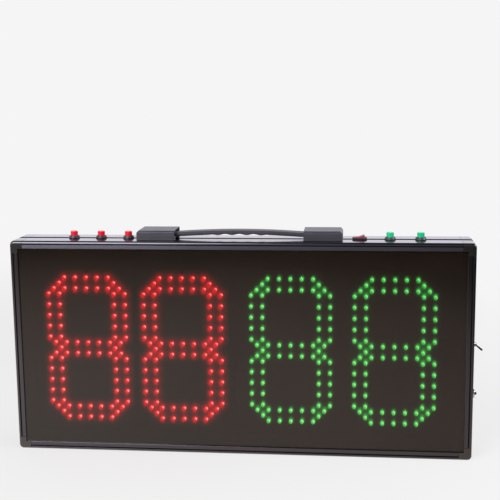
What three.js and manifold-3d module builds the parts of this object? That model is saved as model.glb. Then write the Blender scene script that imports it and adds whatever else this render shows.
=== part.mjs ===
// Electronic substitution board: a black rail frame round a smoked front sheet,
// four LED digits, push buttons, a rocker switch and a strap handle on top.
//
// Millimetres. X runs along the board, +Y points to its back, +Z points up.
// The origin is the centre of the underside, so the board stands on Z = 0.

import * as THREE from 'three';
import { mergeVertices } from 'three/addons/utils/BufferGeometryUtils.js';
import Module from 'manifold-3d';

const wasm = await Module();
wasm.setup();

// Driving dimensions: the whole board
const boardWidth = 640;
const boardHeight = 302;
const boardDepth = 66;
const seatGap = 0.3; // between pieces that rest on or sit in each other
const cutOverrun = 1; // how far a cutting body runs past the face that it cuts

// Rails
const railWall = 2;
const railShoulderRadius = 3.5;
const bezelWidth = 11;
const lipThickness = 2.2;
const lipSlope = 0.7; // how far the lip's face lies back beside the groove
const grooveInset = 3.9;
const grooveWidth = 1.2;
const grooveDepth = 1.2;
const ribThickness = 1.5;
const ribHeight = 7.5;

// Sheets
const frontSheetThickness = 3;
const rearPanelThickness = 2;

// Corner pieces
const cornerLeg = 17.5;
const cornerRadius = 6;
const tongueLength = 20;
const tongueThickness = 7;
const cornerScrewRadius = 1.5;
const cornerScrewHeadRadius = 2.8;
const cornerScrewHeadDepth = 1.4;
const cornerScrewLength = 15;
const cornerScrewPointLength = 1.5;

// Digits and their boards
const ledPitch = 15.62; // between neighbours in one stroke
const ledRadius = 2.5;
const ledHeight = 8.6;
const ledShoulderHeight = 6.4;
const ledTipGap = 1.5; // from the front sheet to the LED tips
const redGap = 26.6; // between the LED columns of the red pair
const greenGap = 33.4; // between the LED columns of the green pair
const middleGap = 41.3; // between the red pair and the green pair
const middleGapOffset = 4.9; // from the board's middle to that gap's middle, to the left
const digitDrop = 3.8; // from the board's middle down to the digits' middle
const digitBoardSideMargin = 10;
const digitBoardEndMargin = 13;
const circuitBoardThickness = 1.6;

// Support posts of the digit boards
const postRadius = 3.5;
const postStudRadius = 1.6;
const postHeadRadius = 2.5;
const postHeadHeight = 1.4;
const postInset = 5.5; // from the end of the digit board to the post's axis

// Control board
const controlBoardWidth = 124;
const controlBoardHeight = 70;
const controlBoardLevel = 200;
const headerLength = 36;
const headerDepth = 11;
const headerThickness = 5;
const headerSpacing = 80;
const headerInset = 6;
const chipWidth = 14;
const chipHeight = 10;
const chipDepth = 2.4;
const chipPitch = 26;
const capacitorRadius = 5;
const capacitorLength = 12;
const capacitorOffset = 24; // from the board's centre, up

// Battery pack and bracket
const batteryLength = 70;
const batteryHeight = 57;
const batteryDepth = 19;
const batteryLevel = 78;
const batteryEdgeRadius = 8;
const bracketWidth = 20;
const bracketThickness = 1;
const bracketFootLength = 9;
const bracketFoldLength = 4;

// Push buttons
const leftControlShares = [0.0997, 0.3427, 0.5857]; // of the free top from the handle to a corner piece
const rightControlShares = [0.1433, 0.4019, 0.6604]; // of the same length on the right
const buttonCapRadius = 5;
const buttonCapHeight = 6.3; // above its collar
const buttonCapRound = 0.9;
const buttonCapEngagement = 3.5; // inside its collar
const buttonTravel = 2.5;
const buttonStopGap = 1; // left under the cap when it is pressed in
const buttonCollarRadius = 8;
const buttonCollarTopRadius = 6.7;
const buttonCollarHeight = 3.3;
const buttonCollarEdge = 0.8; // upright at its foot, below the cone
const buttonBarrelWall = 0.9;
const buttonBarrelLength = 17; // below the top of the rail
const buttonTerminalLength = 4;
const buttonTerminalWidth = 2.4;
const buttonTerminalThickness = 0.6;
const buttonTerminalSpacing = 5;
const buttonNutAcrossFlats = 16;
const buttonNutThickness = 3;

// Rocker switch
const rockerBezelLength = 20;
const rockerBezelWidth = 15;
const rockerBezelHeight = 2;
const rockerHousingLength = 17.8;
const rockerHousingWidth = 12.8;
const rockerHousingDepth = 15; // below the top of the rail
const rockerLength = 14.6;
const rockerWidth = 9.4;
const rockerSideGap = 0.5;
const rockerEndGap = 0.7;
const rockerPivotHeight = 1.4; // above the top of the rail
const rockerEndHeight = 3.7; // above the pivot
const rockerMiddleHeight = 2.7; // above the pivot
const rockerSkirtDepth = 2; // below the pivot, at the ends
const rockerKeelDepth = 5; // below the pivot, in the middle
const rockerPinRadius = 1.1;
const rockerPinEngagement = 0.9;
const rockerTiltDegrees = 13;
const rockerWellDepth = 9; // below the pivot
const rockerTerminalLength = 6;
const rockerTerminalWidth = 4;
const rockerTerminalThickness = 0.8;
const rockerTerminalSpacing = 5;

// Toggle switch in the right rail
const toggleLevel = 156;
const toggleBushingRadius = 3;
const toggleBushingLength = 5.5; // beyond the rail
const toggleBoreRadius = 2.4;
const toggleBoreDepth = 4;
const togglePivotHeight = 4.5; // beyond the rail
const toggleBallRadius = 1.9;
const toggleLeverLength = 13; // from the pivot to the tip
const toggleLeverRootRadius = 1;
const toggleLeverTipRadius = 1.4;
const toggleTiltDegrees = 40; // below level at rest
const toggleBodyLength = 12.7;
const toggleBodyWidth = 8;
const toggleBodyDepth = 9.5;
const toggleTerminalLength = 4;
const toggleTerminalWidth = 2;
const toggleTerminalThickness = 0.8;
const toggleTerminalSpacing = 4.7;
const toggleNutAcrossFlats = 8;
const toggleNutThickness = 2;

// Charging socket in the right rail
const socketLevel = 86;
const socketBarrelRadius = 4.2;
const socketBarrelLength = 3.2; // beyond the rail
const socketBoreRadius = 2.9;
const socketBoreDepth = 12;
const socketPinRadius = 1;
const socketPinInset = 2.5; // from the barrel's mouth to the pin's tip
const socketBodyRadius = 6.5;
const socketBodyDepth = 12;
const socketTerminalLength = 5;
const socketTerminalWidth = 3;
const socketTerminalThickness = 0.8;
const socketTerminalSpacing = 5;
const socketNutRadius = 6.5;
const socketNutThickness = 4.6;
const plugStemLength = 7; // inside the barrel
const plugFlangeRadius = 3.9;
const plugFlangeThickness = 1;
const plugNubRadius = 1.9;
const plugHeight = 8; // from the rail to the top of the nub

// Handle
const handleLength = 284; // over both end caps
const capLength = 53;
const capHeight = 13.6;
const capDepth = 46;
const capWall = 2.5;
const capRoofThickness = 1.7;
const capSideChamfer = 1.8;
const capEndChamfer = 3;
const basePlateThickness = 2.2;
const strapWidth = 24;
const strapThickness = 6;
const strapArch = 4;
const strapEdgePower = 0.45; // below one, this squares the strap's round section
const strapEndEngagement = 9; // how far the full section runs into each cap
const strapTongueWidth = 18;
const strapTongueThickness = 3;
const strapTongueLength = 30;
const strapTongueRoot = 4; // how far the tongue is bedded in the full section
const strapSlotLength = 16;
const strapLift = 2; // play of the strap under its rivet heads
const gripPitch = 20;
const gripDepth = 0.8; // how far a finger ridge stands down
const gripReach = 42; // from the middle of the strap to the last ridge's end
const gripFadePower = 6; // how suddenly the ridges fade out there
const rivetHeadRadius = 5.5;
const rivetHeadThickness = 2;
const rivetSpacerRadius = 3.2;
const rivetShankRadius = 2.4;
const rivetTailRadius = 4;
const rivetTailThickness = 3;
const rivetOffset = 24; // from the cap's outer end to the rivet's axis

// Steps round curved faces
const shoulderSteps = 3;
const cornerSteps = 4;
const ledSides = 5;
const roundSides = 12;
const smallRoundSides = 8;
const postSides = 6;
const strapSectionSides = 10;
const strapStepsPerGrip = 4;
const leverBallSteps = 5;

// Places worked out from the dimensions above
const halfWidth = boardWidth / 2;
const halfHeight = boardHeight / 2;
const halfDepth = boardDepth / 2;
const sheetInset = railWall + seatGap;
const frontSlotStart = -halfDepth + lipThickness;
const frontSlot = [frontSlotStart, frontSlotStart + frontSheetThickness + 2 * seatGap];
const rearSlotEnd = halfDepth - lipThickness;
const rearSlot = [rearSlotEnd - rearPanelThickness - 2 * seatGap, rearSlotEnd];
const channel = [frontSlot[1] + ribThickness, rearSlot[0] - ribThickness];
const sheetBack = frontSlot[1] - seatGap;
const panelFace = rearSlot[0] + seatGap;
const panelBack = rearSlot[1] - seatGap;
const railGap = cornerLeg + seatGap;
const halfPitch = ledPitch / 2;
const digitColumns = 14; // half pitches across a digit
const digitRows = 26; // half pitches down a digit
const digitWidth = digitColumns * halfPitch;
const digitHeight = digitRows * halfPitch;
const boardFront = sheetBack + ledTipGap + ledHeight;
const boardBack = boardFront + circuitBoardThickness;
const innerDigit = (middleGap + digitWidth) / 2;
const digitPlaces = [
  -innerDigit - digitWidth - redGap, -innerDigit, innerDigit, innerDigit + digitWidth + greenGap,
].map((place) => place - middleGapOffset);
const postLevels = [-1, 1].map((end) => end * (digitHeight / 2 + digitBoardEndMargin - postInset));
const digitLevel = halfHeight - digitDrop;
const cornerScrewOffset = cornerLeg + tongueLength / 2;
const cornerScrewInset = sheetInset + tongueThickness / 2;
const cornerScrewFace = halfDepth - lipSlope;
const capMiddle = (handleLength - capLength) / 2;
const rivetPlace = handleLength / 2 - rivetOffset;
const freeTop = halfWidth - cornerLeg - handleLength / 2;
const controlPlace = (share) => handleLength / 2 + share * freeTop;
const leftControlPlaces = leftControlShares.map(controlPlace);
const rightControlPlaces = rightControlShares.map(controlPlace);
const basePlateTop = seatGap + basePlateThickness;
const strapBottom = basePlateTop + seatGap;
const batteryBack = panelFace - seatGap;
const batteryFront = batteryBack - batteryDepth;

// Solids: closed meshes that can be joined and cut

function toSolid(geometry) {
  const plain = geometry.clone();
  plain.deleteAttribute('normal');
  plain.deleteAttribute('uv');
  const merged = mergeVertices(plain);
  const index = merged.index.array;
  const kept = [];
  for (let i = 0; i < index.length; i += 3) {
    const [a, b, c] = [index[i], index[i + 1], index[i + 2]];
    if (a !== b && b !== c && c !== a) kept.push(a, b, c);
  }
  return new wasm.Manifold(new wasm.Mesh({
    numProp: 3,
    vertProperties: merged.attributes.position.array,
    triVerts: Uint32Array.from(kept),
  }));
}

function toGeometry(solid) {
  const mesh = solid.getMesh();
  const geometry = new THREE.BufferGeometry();
  geometry.setAttribute('position', new THREE.BufferAttribute(mesh.vertProperties, 3));
  geometry.setIndex(new THREE.BufferAttribute(mesh.triVerts, 1));
  geometry.computeVertexNormals();
  return geometry;
}

function join(first, ...others) {
  return others.reduce((whole, piece) => whole.add(piece), first);
}

function cut(first, ...others) {
  return others.reduce((whole, tool) => whole.subtract(tool), first);
}

// A box between two limits along each axis; boxes with a limit in common share that face exactly
function block([x0, x1], [y0, y1], [z0, z1]) {
  const geometry = new THREE.BoxGeometry();
  const corners = geometry.getAttribute('position');
  for (let i = 0; i < corners.count; i += 1) {
    corners.setXYZ(
      i, corners.getX(i) < 0 ? x0 : x1, corners.getY(i) < 0 ? y0 : y1, corners.getZ(i) < 0 ? z0 : z1);
  }
  return toSolid(geometry);
}

function about(middle, size) {
  return [middle - size / 2, middle + size / 2];
}

// A round or many-sided rod along Z
function rod(radius, [z0, z1], sides) {
  const geometry = new THREE.CylinderGeometry(radius, radius, z1 - z0, sides);
  geometry.rotateX(Math.PI / 2);
  geometry.translate(0, 0, (z0 + z1) / 2);
  return toSolid(geometry);
}

// A hexagonal rod along Z, with its flats facing Y
function hexRod(acrossFlats, span) {
  return rod(acrossFlats / Math.sqrt(3), span, 6);
}

// A body turned about Z from [radius, height] points, which run upwards along its outside
function turned(profile, sides) {
  const points = profile.map(([radius, height]) => new THREE.Vector2(radius, height));
  const geometry = new THREE.LatheGeometry(points, sides);
  geometry.rotateX(Math.PI / 2);
  return toSolid(geometry);
}

function alongY(solid) {
  return solid.rotate([-90, 0, 0]);
}

function outline(points) {
  return new THREE.Shape(points.map(([a, b]) => new THREE.Vector2(a, b)));
}

// A prism along X whose section is drawn in Y and Z
function prismX(points, [x0, x1]) {
  const geometry = new THREE.ExtrudeGeometry(outline(points), { depth: x1 - x0, bevelEnabled: false });
  const turn = new THREE.Matrix4().makeBasis(
    new THREE.Vector3(0, 1, 0), new THREE.Vector3(0, 0, 1), new THREE.Vector3(1, 0, 0));
  geometry.applyMatrix4(turn);
  geometry.translate(x0, 0, 0);
  return toSolid(geometry);
}

// A prism along Y whose outline is drawn in X and Z
function prismY(shape, [y0, y1], settings = {}) {
  const geometry = new THREE.ExtrudeGeometry(shape, { depth: y1 - y0, bevelEnabled: false, ...settings });
  const turn = new THREE.Matrix4().makeBasis(
    new THREE.Vector3(1, 0, 0), new THREE.Vector3(0, 0, 1), new THREE.Vector3(0, -1, 0));
  geometry.applyMatrix4(turn);
  geometry.translate(0, y1, 0);
  return toSolid(geometry);
}

// A rectangle with round corners, centred on the origin
function roundedRectangle(width, height, radius) {
  const shape = new THREE.Shape();
  const right = width / 2 - radius;
  const top = height / 2 - radius;
  shape.absarc(right, top, radius, 0, Math.PI / 2);
  shape.absarc(-right, top, radius, Math.PI / 2, Math.PI);
  shape.absarc(-right, -top, radius, Math.PI, 1.5 * Math.PI);
  shape.absarc(right, -top, radius, 1.5 * Math.PI, 2 * Math.PI);
  return shape;
}

function arcPoints(centreA, centreB, radius, fromDegrees, toDegrees, steps) {
  const points = [];
  for (let i = 0; i <= steps; i += 1) {
    const angle = THREE.MathUtils.degToRad(fromDegrees + (toDegrees - fromDegrees) * i / steps);
    points.push([centreA + radius * Math.cos(angle), centreB + radius * Math.sin(angle)]);
  }
  return points;
}

// Materials
function material(color, roughness, metalness, extra = {}) {
  return new THREE.MeshStandardMaterial({ color, roughness, metalness, ...extra });
}

const blackAnodised = material(0x1b1b1f, 0.28, 0.7);
const blackMoulding = material(0x202024, 0.42, 0);
const smokedSheet = material(0x2c2621, 0.08, 0, { transparent: true, opacity: 0.45 });
const rearSheetFinish = material(0x26262a, 0.5, 0.2);
const redDisplay = material(0xd8141e, 0.35, 0, { emissive: 0x5a0408 });
const greenDisplay = material(0x3cc85a, 0.35, 0, { emissive: 0x0b4a1c });
const circuitGreen = material(0x1d5a36, 0.5, 0);
const batteryBlue = material(0x1f4f8c, 0.4, 0);
const bareSteel = material(0xa8abb0, 0.32, 0.9);
const blackSteel = material(0x2a2a2d, 0.35, 0.8);
const nylonBlack = material(0x2b2b2d, 0.55, 0);
const handleRubber = material(0x3c3a42, 0.62, 0);
const buttonRed = material(0xe6142e, 0.35, 0);
const buttonGreen = material(0x14c88c, 0.35, 0);
const rockerRed = material(0x96465a, 0.4, 0);
const plugRubber = material(0x232323, 0.7, 0);

const board = new THREE.Group();

function addPart(name, geometry, finish, position = [0, 0, 0], turn = 0, parent = board) {
  const mesh = new THREE.Mesh(geometry, finish);
  mesh.name = name;
  mesh.position.set(...position);
  mesh.rotation.y = turn;
  parent.add(mesh);
  return mesh;
}

// Rail section, drawn in Y and Z with the outer face at Z = 0 and the inside below it
function halfRailSection(slot, rib) {
  const shoulder = arcPoints(
    halfDepth - railShoulderRadius, -railShoulderRadius, railShoulderRadius, 90, 0, shoulderSteps);
  const grooveEnd = grooveInset + grooveWidth;
  return [
    ...shoulder,
    [halfDepth, -grooveInset],
    [halfDepth - grooveDepth, -grooveInset],
    [halfDepth - grooveDepth, -grooveEnd],
    [halfDepth - lipSlope, -grooveEnd],
    [halfDepth, -bezelWidth],
    [halfDepth - lipThickness, -bezelWidth],
    [halfDepth - lipThickness, -railWall],
    [slot, -railWall],
    [slot, -railWall - ribHeight],
    [rib, -railWall - ribHeight],
    [rib, -railWall],
  ];
}

function railBody(length) {
  const rearHalf = halfRailSection(rearSlot[0], channel[1]);
  const frontHalf = halfRailSection(-frontSlot[1], -channel[0]).map(([y, z]) => [-y, z]).reverse();
  return prismX([...rearHalf, ...frontHalf], about(0, length));
}

// The screw's turned outline from its point up to its head face, with room added round it
function cornerScrewProfile(room) {
  const neck = -cornerScrewHeadDepth - room;
  return [
    [0, -cornerScrewLength - room],
    [cornerScrewRadius + room, -cornerScrewLength + cornerScrewPointLength - room],
    [cornerScrewRadius + room, neck],
    [cornerScrewHeadRadius + room, 0],
    [0, 0],
  ];
}

// Room for one corner screw: the countersunk outline, open to the rear
function cornerScrewHole(x, y, z) {
  const radius = cornerScrewHeadRadius + seatGap;
  const tool = join(
    turned(cornerScrewProfile(seatGap), smallRoundSides),
    rod(radius, [-seatGap / 2, cutOverrun], smallRoundSides));
  return alongY(tool).translate([x, y, z]);
}

const horizontalRailLength = boardWidth - 2 * railGap;
const verticalRailLength = boardHeight - 2 * railGap;

function screwedRail() {
  const holes = [-1, 1].map((side) => cornerScrewHole(
    side * (halfWidth - cornerScrewOffset), cornerScrewFace, -cornerScrewInset));
  return cut(railBody(horizontalRailLength), ...holes);
}

function railTop() {
  const wall = [-railWall - cutOverrun, cutOverrun];
  const buttonRoom = buttonBarrelRadius + seatGap;
  const buttonHoles = buttonPlaces.map(({ x }) => (
    rod(buttonRoom, wall, roundSides).translate([x, 0, 0])));
  const rivetHoles = [-rivetPlace, rivetPlace].map((x) => (
    rod(rivetShankRadius + seatGap, wall, smallRoundSides).translate([x, 0, 0])));
  const rockerHole = block(
    about(rightControlPlaces[0], rockerHousingLength + 2 * seatGap),
    about(0, rockerHousingWidth + 2 * seatGap), wall);
  return cut(screwedRail(), ...buttonHoles, ...rivetHoles, rockerHole);
}

function railRight() {
  const wall = [-railWall - cutOverrun, cutOverrun];
  const toggleHole = rod(toggleBushingRadius + seatGap, wall, roundSides)
    .translate([halfHeight - toggleLevel, 0, 0]);
  const socketHole = rod(socketBarrelRadius + seatGap, wall, roundSides)
    .translate([halfHeight - socketLevel, 0, 0]);
  return cut(railBody(verticalRailLength), toggleHole, socketHole);
}

// Corner piece, drawn for the top right corner with the board's outer corner at the origin
function cornerPiece() {
  const blankSize = 4 * cornerLeg;
  const blankMiddle = -blankSize / 2;
  const flatSize = blankSize - 2 * railShoulderRadius;
  const blank = prismY(
    roundedRectangle(flatSize, flatSize, cornerRadius - railShoulderRadius),
    [-halfDepth + railShoulderRadius, halfDepth - railShoulderRadius],
    {
      bevelEnabled: true, bevelSize: railShoulderRadius, bevelThickness: railShoulderRadius,
      bevelSegments: shoulderSteps, curveSegments: cornerSteps,
    }).translate([blankMiddle, 0, blankMiddle]);
  const leg = blank.intersect(block(
    [-cornerLeg, cutOverrun], [-halfDepth - cutOverrun, halfDepth + cutOverrun], [-cornerLeg, cutOverrun]));
  const past = -cornerLeg - cutOverrun;
  const window = block(
    [past, -bezelWidth], [-halfDepth - cutOverrun, halfDepth + cutOverrun], [past, -bezelWidth]);
  const slots = [frontSlot, rearSlot].map((slot) => prismY(
    roundedRectangle(blankSize - 2 * railWall, blankSize - 2 * railWall, cornerRadius - railWall),
    slot, { curveSegments: cornerSteps }).translate([blankMiddle, 0, blankMiddle]));
  const tongueDepth = [channel[0] + seatGap, channel[1] - seatGap];
  const tongueSpan = [-cornerLeg - tongueLength, -cornerLeg + cutOverrun];
  const tongueFace = [-sheetInset - tongueThickness, -sheetInset];
  const body = join(
    cut(leg, window, ...slots),
    block(tongueSpan, tongueDepth, tongueFace),
    block(tongueFace, tongueDepth, tongueSpan));
  return cut(
    body,
    cornerScrewHole(-cornerScrewOffset, cornerScrewFace, -cornerScrewInset),
    cornerScrewHole(-cornerScrewInset, cornerScrewFace, -cornerScrewOffset));
}

function sheetBlank(thickness, faceY) {
  return prismY(
    roundedRectangle(boardWidth - 2 * sheetInset, boardHeight - 2 * sheetInset, cornerRadius - sheetInset),
    [faceY, faceY + thickness], { curveSegments: cornerSteps });
}

const bracketLegPlaces = [-1, 1].map((side) => side * (batteryHeight / 2 + seatGap + bracketThickness / 2));
const bracketTabOffset = bracketLegPlaces[1] + bracketFootLength;
const controlMiddle = controlBoardLevel - halfHeight;
const batteryMiddle = batteryLevel - halfHeight;

function rearPanel() {
  const through = [panelFace - cutOverrun, panelBack + cutOverrun];
  const postHoles = digitPlaces.flatMap((x) => postLevels.map((z) => (
    alongY(rod(postStudRadius + seatGap, through, postSides)).translate([x, 0, z - digitDrop]))));
  const screwHoles = [-1, 1].flatMap((side) => [-1, 1].map((end) => cornerScrewHole(
    side * (halfWidth - cornerScrewOffset), cornerScrewFace, end * (halfHeight - cornerScrewInset))));
  const tabSlots = [-1, 1].map((end) => block(
    about(0, bracketWidth + 2 * seatGap), through,
    about(batteryMiddle + end * bracketTabOffset, bracketThickness + 2 * seatGap)));
  return cut(sheetBlank(rearPanelThickness, panelFace), ...postHoles, ...screwHoles, ...tabSlots);
}

// The LEDs of an 8, as [column, row] in half pitches: one quarter, then mirrored both ways
function ledPlaces() {
  const quarter = [[2, 1], [1, 2], [1, 12], [2, 13]];
  for (const row of [0, 2, 12]) {
    for (const column of [3, 5, 7]) quarter.push([column, row]);
  }
  for (const column of [0, 2]) {
    for (const row of [3, 5, 7, 9, 11]) quarter.push([column, row]);
  }
  const places = new Map();
  for (const [column, row] of quarter) {
    for (const c of [column, digitColumns - column]) {
      for (const r of [row, digitRows - row]) places.set(`${c},${r}`, [c, r]);
    }
  }
  return [...places.values()].map(([c, r]) => [
    (c - digitColumns / 2) * halfPitch, (digitRows / 2 - r) * halfPitch]);
}

// Digit board, centred on its digit, with the circuit board's front face at Y = 0
function digitBoard() {
  const width = digitWidth + 2 * digitBoardSideMargin;
  const height = digitHeight + 2 * digitBoardEndMargin;
  const panel = block(about(0, width), [0, circuitBoardThickness], about(0, height));
  const postHoles = postLevels.map((z) => (
    alongY(rod(postStudRadius + seatGap, [-cutOverrun, circuitBoardThickness + cutOverrun], postSides))
      .translate([0, 0, z])));
  const led = turned([
    [0, -ledHeight], [ledRadius, -ledShoulderHeight], [ledRadius, circuitBoardThickness / 2],
    [0, circuitBoardThickness / 2],
  ], ledSides);
  const upright = alongY(led);
  const leds = ledPlaces().map(([x, z]) => upright.translate([x, 0, z]));
  return join(cut(panel, ...postHoles), ...leds);
}

// Support post along Y, drawn where it stands: a snap head in front of the digit board,
// a stud through the board, the body, and the same again at the rear panel
function supportPost() {
  const frontStud = boardFront - seatGap;
  const rearStud = panelBack + seatGap;
  const body = [boardBack + seatGap, panelFace - seatGap];
  const profile = [
    [0, frontStud - postHeadHeight],
    [postStudRadius, frontStud - postHeadHeight],
    [postHeadRadius, frontStud],
    [postStudRadius, frontStud],
    [postStudRadius, body[0]],
    [postRadius, body[0]],
    [postRadius, body[1]],
    [postStudRadius, body[1]],
    [postStudRadius, rearStud],
    [postHeadRadius, rearStud],
    [postStudRadius, rearStud + postHeadHeight],
    [0, rearStud + postHeadHeight],
  ];
  return alongY(turned(profile, postSides));
}

// Control board behind the middle digit boards, with plug headers towards them
function controlBoard() {
  const front = boardBack + seatGap + headerDepth;
  const back = front + circuitBoardThickness;
  const panel = block(
    about(0, controlBoardWidth), [front, back], about(controlMiddle, controlBoardHeight));
  const headerPlace = controlMiddle + controlBoardHeight / 2 - headerInset;
  const headers = [-1, 1].map((side) => block(
    about(side * headerSpacing / 2, headerLength), [boardBack + seatGap, front + circuitBoardThickness / 2],
    about(headerPlace, headerThickness)));
  const chips = [-1, 0, 1].map((step) => block(
    about(step * chipPitch, chipWidth), [front + circuitBoardThickness / 2, back + chipDepth],
    about(controlMiddle, chipHeight)));
  const capacitor = rod(capacitorRadius, about(0, capacitorLength), smallRoundSides)
    .rotate([0, 90, 0])
    .translate([0, back + capacitorRadius - circuitBoardThickness / 2, controlMiddle - capacitorOffset]);
  return join(panel, ...headers, ...chips, capacitor);
}

function batteryPack() {
  const section = roundedRectangle(batteryDepth, batteryHeight, batteryEdgeRadius).getPoints(cornerSteps);
  const points = section.slice(0, -1).map(({ x, y }) => [x, y]);
  return prismX(points, about(0, batteryLength))
    .translate([0, (batteryFront + batteryBack) / 2, batteryMiddle]);
}

// Folded strap over the battery, with tabs through the rear panel that are bent over behind it
function batteryBracket() {
  const x = about(0, bracketWidth);
  const top = [batteryFront - seatGap - bracketThickness, batteryFront - seatGap];
  const foot = [panelFace - seatGap - bracketThickness, panelFace - seatGap];
  const fold = [panelBack + seatGap, panelBack + seatGap + bracketThickness];
  const reach = bracketLegPlaces[1] + bracketThickness / 2;
  const bridge = block(x, top, [-reach, reach]);
  const pieces = [-1, 1].flatMap((end) => {
    const leg = end * bracketLegPlaces[1];
    const tab = end * bracketTabOffset;
    const tabSpan = about(tab, bracketThickness);
    const footSpan = [
      Math.min(leg, tab) - bracketThickness / 2, Math.max(leg, tab) + bracketThickness / 2];
    const outer = tab + end * bracketThickness / 2;
    const bend = outer - end * bracketFoldLength;
    return [
      block(x, [top[0], foot[1]], about(leg, bracketThickness)),
      block(x, foot, footSpan),
      block(x, [foot[0], fold[1]], tabSpan),
      block(x, fold, [Math.min(outer, bend), Math.max(outer, bend)]),
    ];
  });
  return join(bridge, ...pieces).translate([0, 0, batteryMiddle]);
}

// Push button parts, drawn with the top of the rail at Z = 0
const buttonBoreRadius = buttonCapRadius + seatGap;
const buttonBarrelRadius = buttonBoreRadius + buttonBarrelWall;
const buttonCapBottom = buttonCollarHeight - buttonCapEngagement;
const buttonCollarTop = seatGap + buttonCollarHeight;

function buttonBody() {
  const boreFloor = seatGap + buttonCapBottom - buttonTravel - buttonStopGap;
  const body = turned([
    [0, -buttonBarrelLength],
    [buttonBarrelRadius, -buttonBarrelLength],
    [buttonBarrelRadius, seatGap],
    [buttonCollarRadius, seatGap],
    [buttonCollarRadius, seatGap + buttonCollarEdge],
    [buttonCollarTopRadius, buttonCollarTop],
    [buttonBoreRadius, buttonCollarTop],
    [buttonBoreRadius, boreFloor],
    [0, boreFloor],
  ], roundSides);
  const terminals = [-1, 1].map((side) => block(
    about(side * buttonTerminalSpacing / 2, buttonTerminalWidth), about(0, buttonTerminalThickness),
    [-buttonBarrelLength - buttonTerminalLength, -buttonBarrelLength + buttonStopGap]));
  return join(body, ...terminals);
}

function buttonCap() {
  const top = buttonCollarTop + buttonCapHeight;
  return turned([
    [0, seatGap + buttonCapBottom],
    [buttonCapRadius, seatGap + buttonCapBottom],
    [buttonCapRadius, top - buttonCapRound],
    [buttonCapRadius - buttonCapRound, top],
    [0, top],
  ], roundSides);
}

function buttonNut() {
  const span = [-railWall - seatGap - buttonNutThickness, -railWall - seatGap];
  return cut(
    hexRod(buttonNutAcrossFlats, span),
    rod(buttonBarrelRadius + seatGap, [span[0] - cutOverrun, span[1] + cutOverrun], roundSides));
}

const buttonPlaces = [
  { name: 'red_1', x: -leftControlPlaces[2], finish: buttonRed },
  { name: 'red_2', x: -leftControlPlaces[1], finish: buttonRed },
  { name: 'red_3', x: -leftControlPlaces[0], finish: buttonRed },
  { name: 'green_1', x: rightControlPlaces[1], finish: buttonGreen },
  { name: 'green_2', x: rightControlPlaces[2], finish: buttonGreen },
];

// Rocker switch parts, drawn with the top of the rail at Z = 0
const rockerPinSpan = rockerWidth + 2 * rockerSideGap + 2 * rockerPinEngagement;

function rockerHousing() {
  const bezelTop = seatGap + rockerBezelHeight;
  const wellFloor = rockerPivotHeight - rockerWellDepth;
  const shell = join(
    block(about(0, rockerBezelLength), about(0, rockerBezelWidth), [seatGap, bezelTop]),
    block(about(0, rockerHousingLength), about(0, rockerHousingWidth), [-rockerHousingDepth, bezelTop]));
  const well = block(
    about(0, rockerLength + 2 * rockerEndGap), about(0, rockerWidth + 2 * rockerSideGap),
    [wellFloor, bezelTop + cutOverrun]);
  const pinRoom = rod(rockerPinRadius + seatGap, about(0, rockerPinSpan + 2 * seatGap), smallRoundSides);
  const pinHole = alongY(pinRoom).translate([0, 0, rockerPivotHeight]);
  const terminals = [-1, 0, 1].map((step) => block(
    about(step * rockerTerminalSpacing, rockerTerminalThickness), about(0, rockerTerminalWidth),
    [-rockerHousingDepth - rockerTerminalLength, -rockerHousingDepth + rockerBezelHeight]));
  return join(cut(shell, well, pinHole), ...terminals);
}

// Rocker centred on its pivot, level; its mesh is tilted to the rest position
function rockerPaddle() {
  const half = rockerLength / 2;
  const section = outline([
    [-half, rockerEndHeight], [-half, -rockerSkirtDepth], [0, -rockerKeelDepth],
    [half, -rockerSkirtDepth], [half, rockerEndHeight], [0, rockerMiddleHeight],
  ]);
  return join(
    prismY(section, about(0, rockerWidth)),
    alongY(rod(rockerPinRadius, about(0, rockerPinSpan), smallRoundSides)));
}

// Side controls, drawn with their axis along Z and the rail's outer face at Z = 0
function toggleBody() {
  const seat = -sheetInset;
  const floor = togglePivotHeight - toggleBoreDepth;
  const bushing = turned([
    [0, seat - toggleBodyDepth / 2], [toggleBushingRadius, seat - toggleBodyDepth / 2],
    [toggleBushingRadius, toggleBushingLength], [toggleBoreRadius, toggleBushingLength],
    [toggleBoreRadius, floor], [0, floor],
  ], roundSides);
  const terminals = [-1, 0, 1].map((step) => block(
    about(step * toggleTerminalSpacing, toggleTerminalThickness), about(0, toggleTerminalWidth),
    [seat - toggleBodyDepth - toggleTerminalLength, seat - toggleBodyDepth / 2]));
  const housing = block(
    about(0, toggleBodyLength), about(0, toggleBodyWidth), [seat - toggleBodyDepth, seat]);
  return join(housing, bushing, ...terminals);
}

function toggleLever() {
  const ball = arcPoints(0, 0, toggleBallRadius, -90, 60, leverBallSteps).slice(1);
  return turned([
    [0, -toggleBallRadius],
    ...ball,
    [toggleLeverRootRadius, toggleBallRadius],
    [toggleLeverTipRadius, toggleLeverLength - toggleLeverTipRadius],
    ...arcPoints(0, toggleLeverLength - toggleLeverTipRadius, toggleLeverTipRadius, 30, 60, 1),
    [0, toggleLeverLength],
  ], smallRoundSides);
}

function toggleNut() {
  const span = [seatGap, seatGap + toggleNutThickness];
  return cut(
    hexRod(toggleNutAcrossFlats, span),
    rod(toggleBushingRadius + seatGap, [-cutOverrun, span[1] + cutOverrun], roundSides));
}

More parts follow.
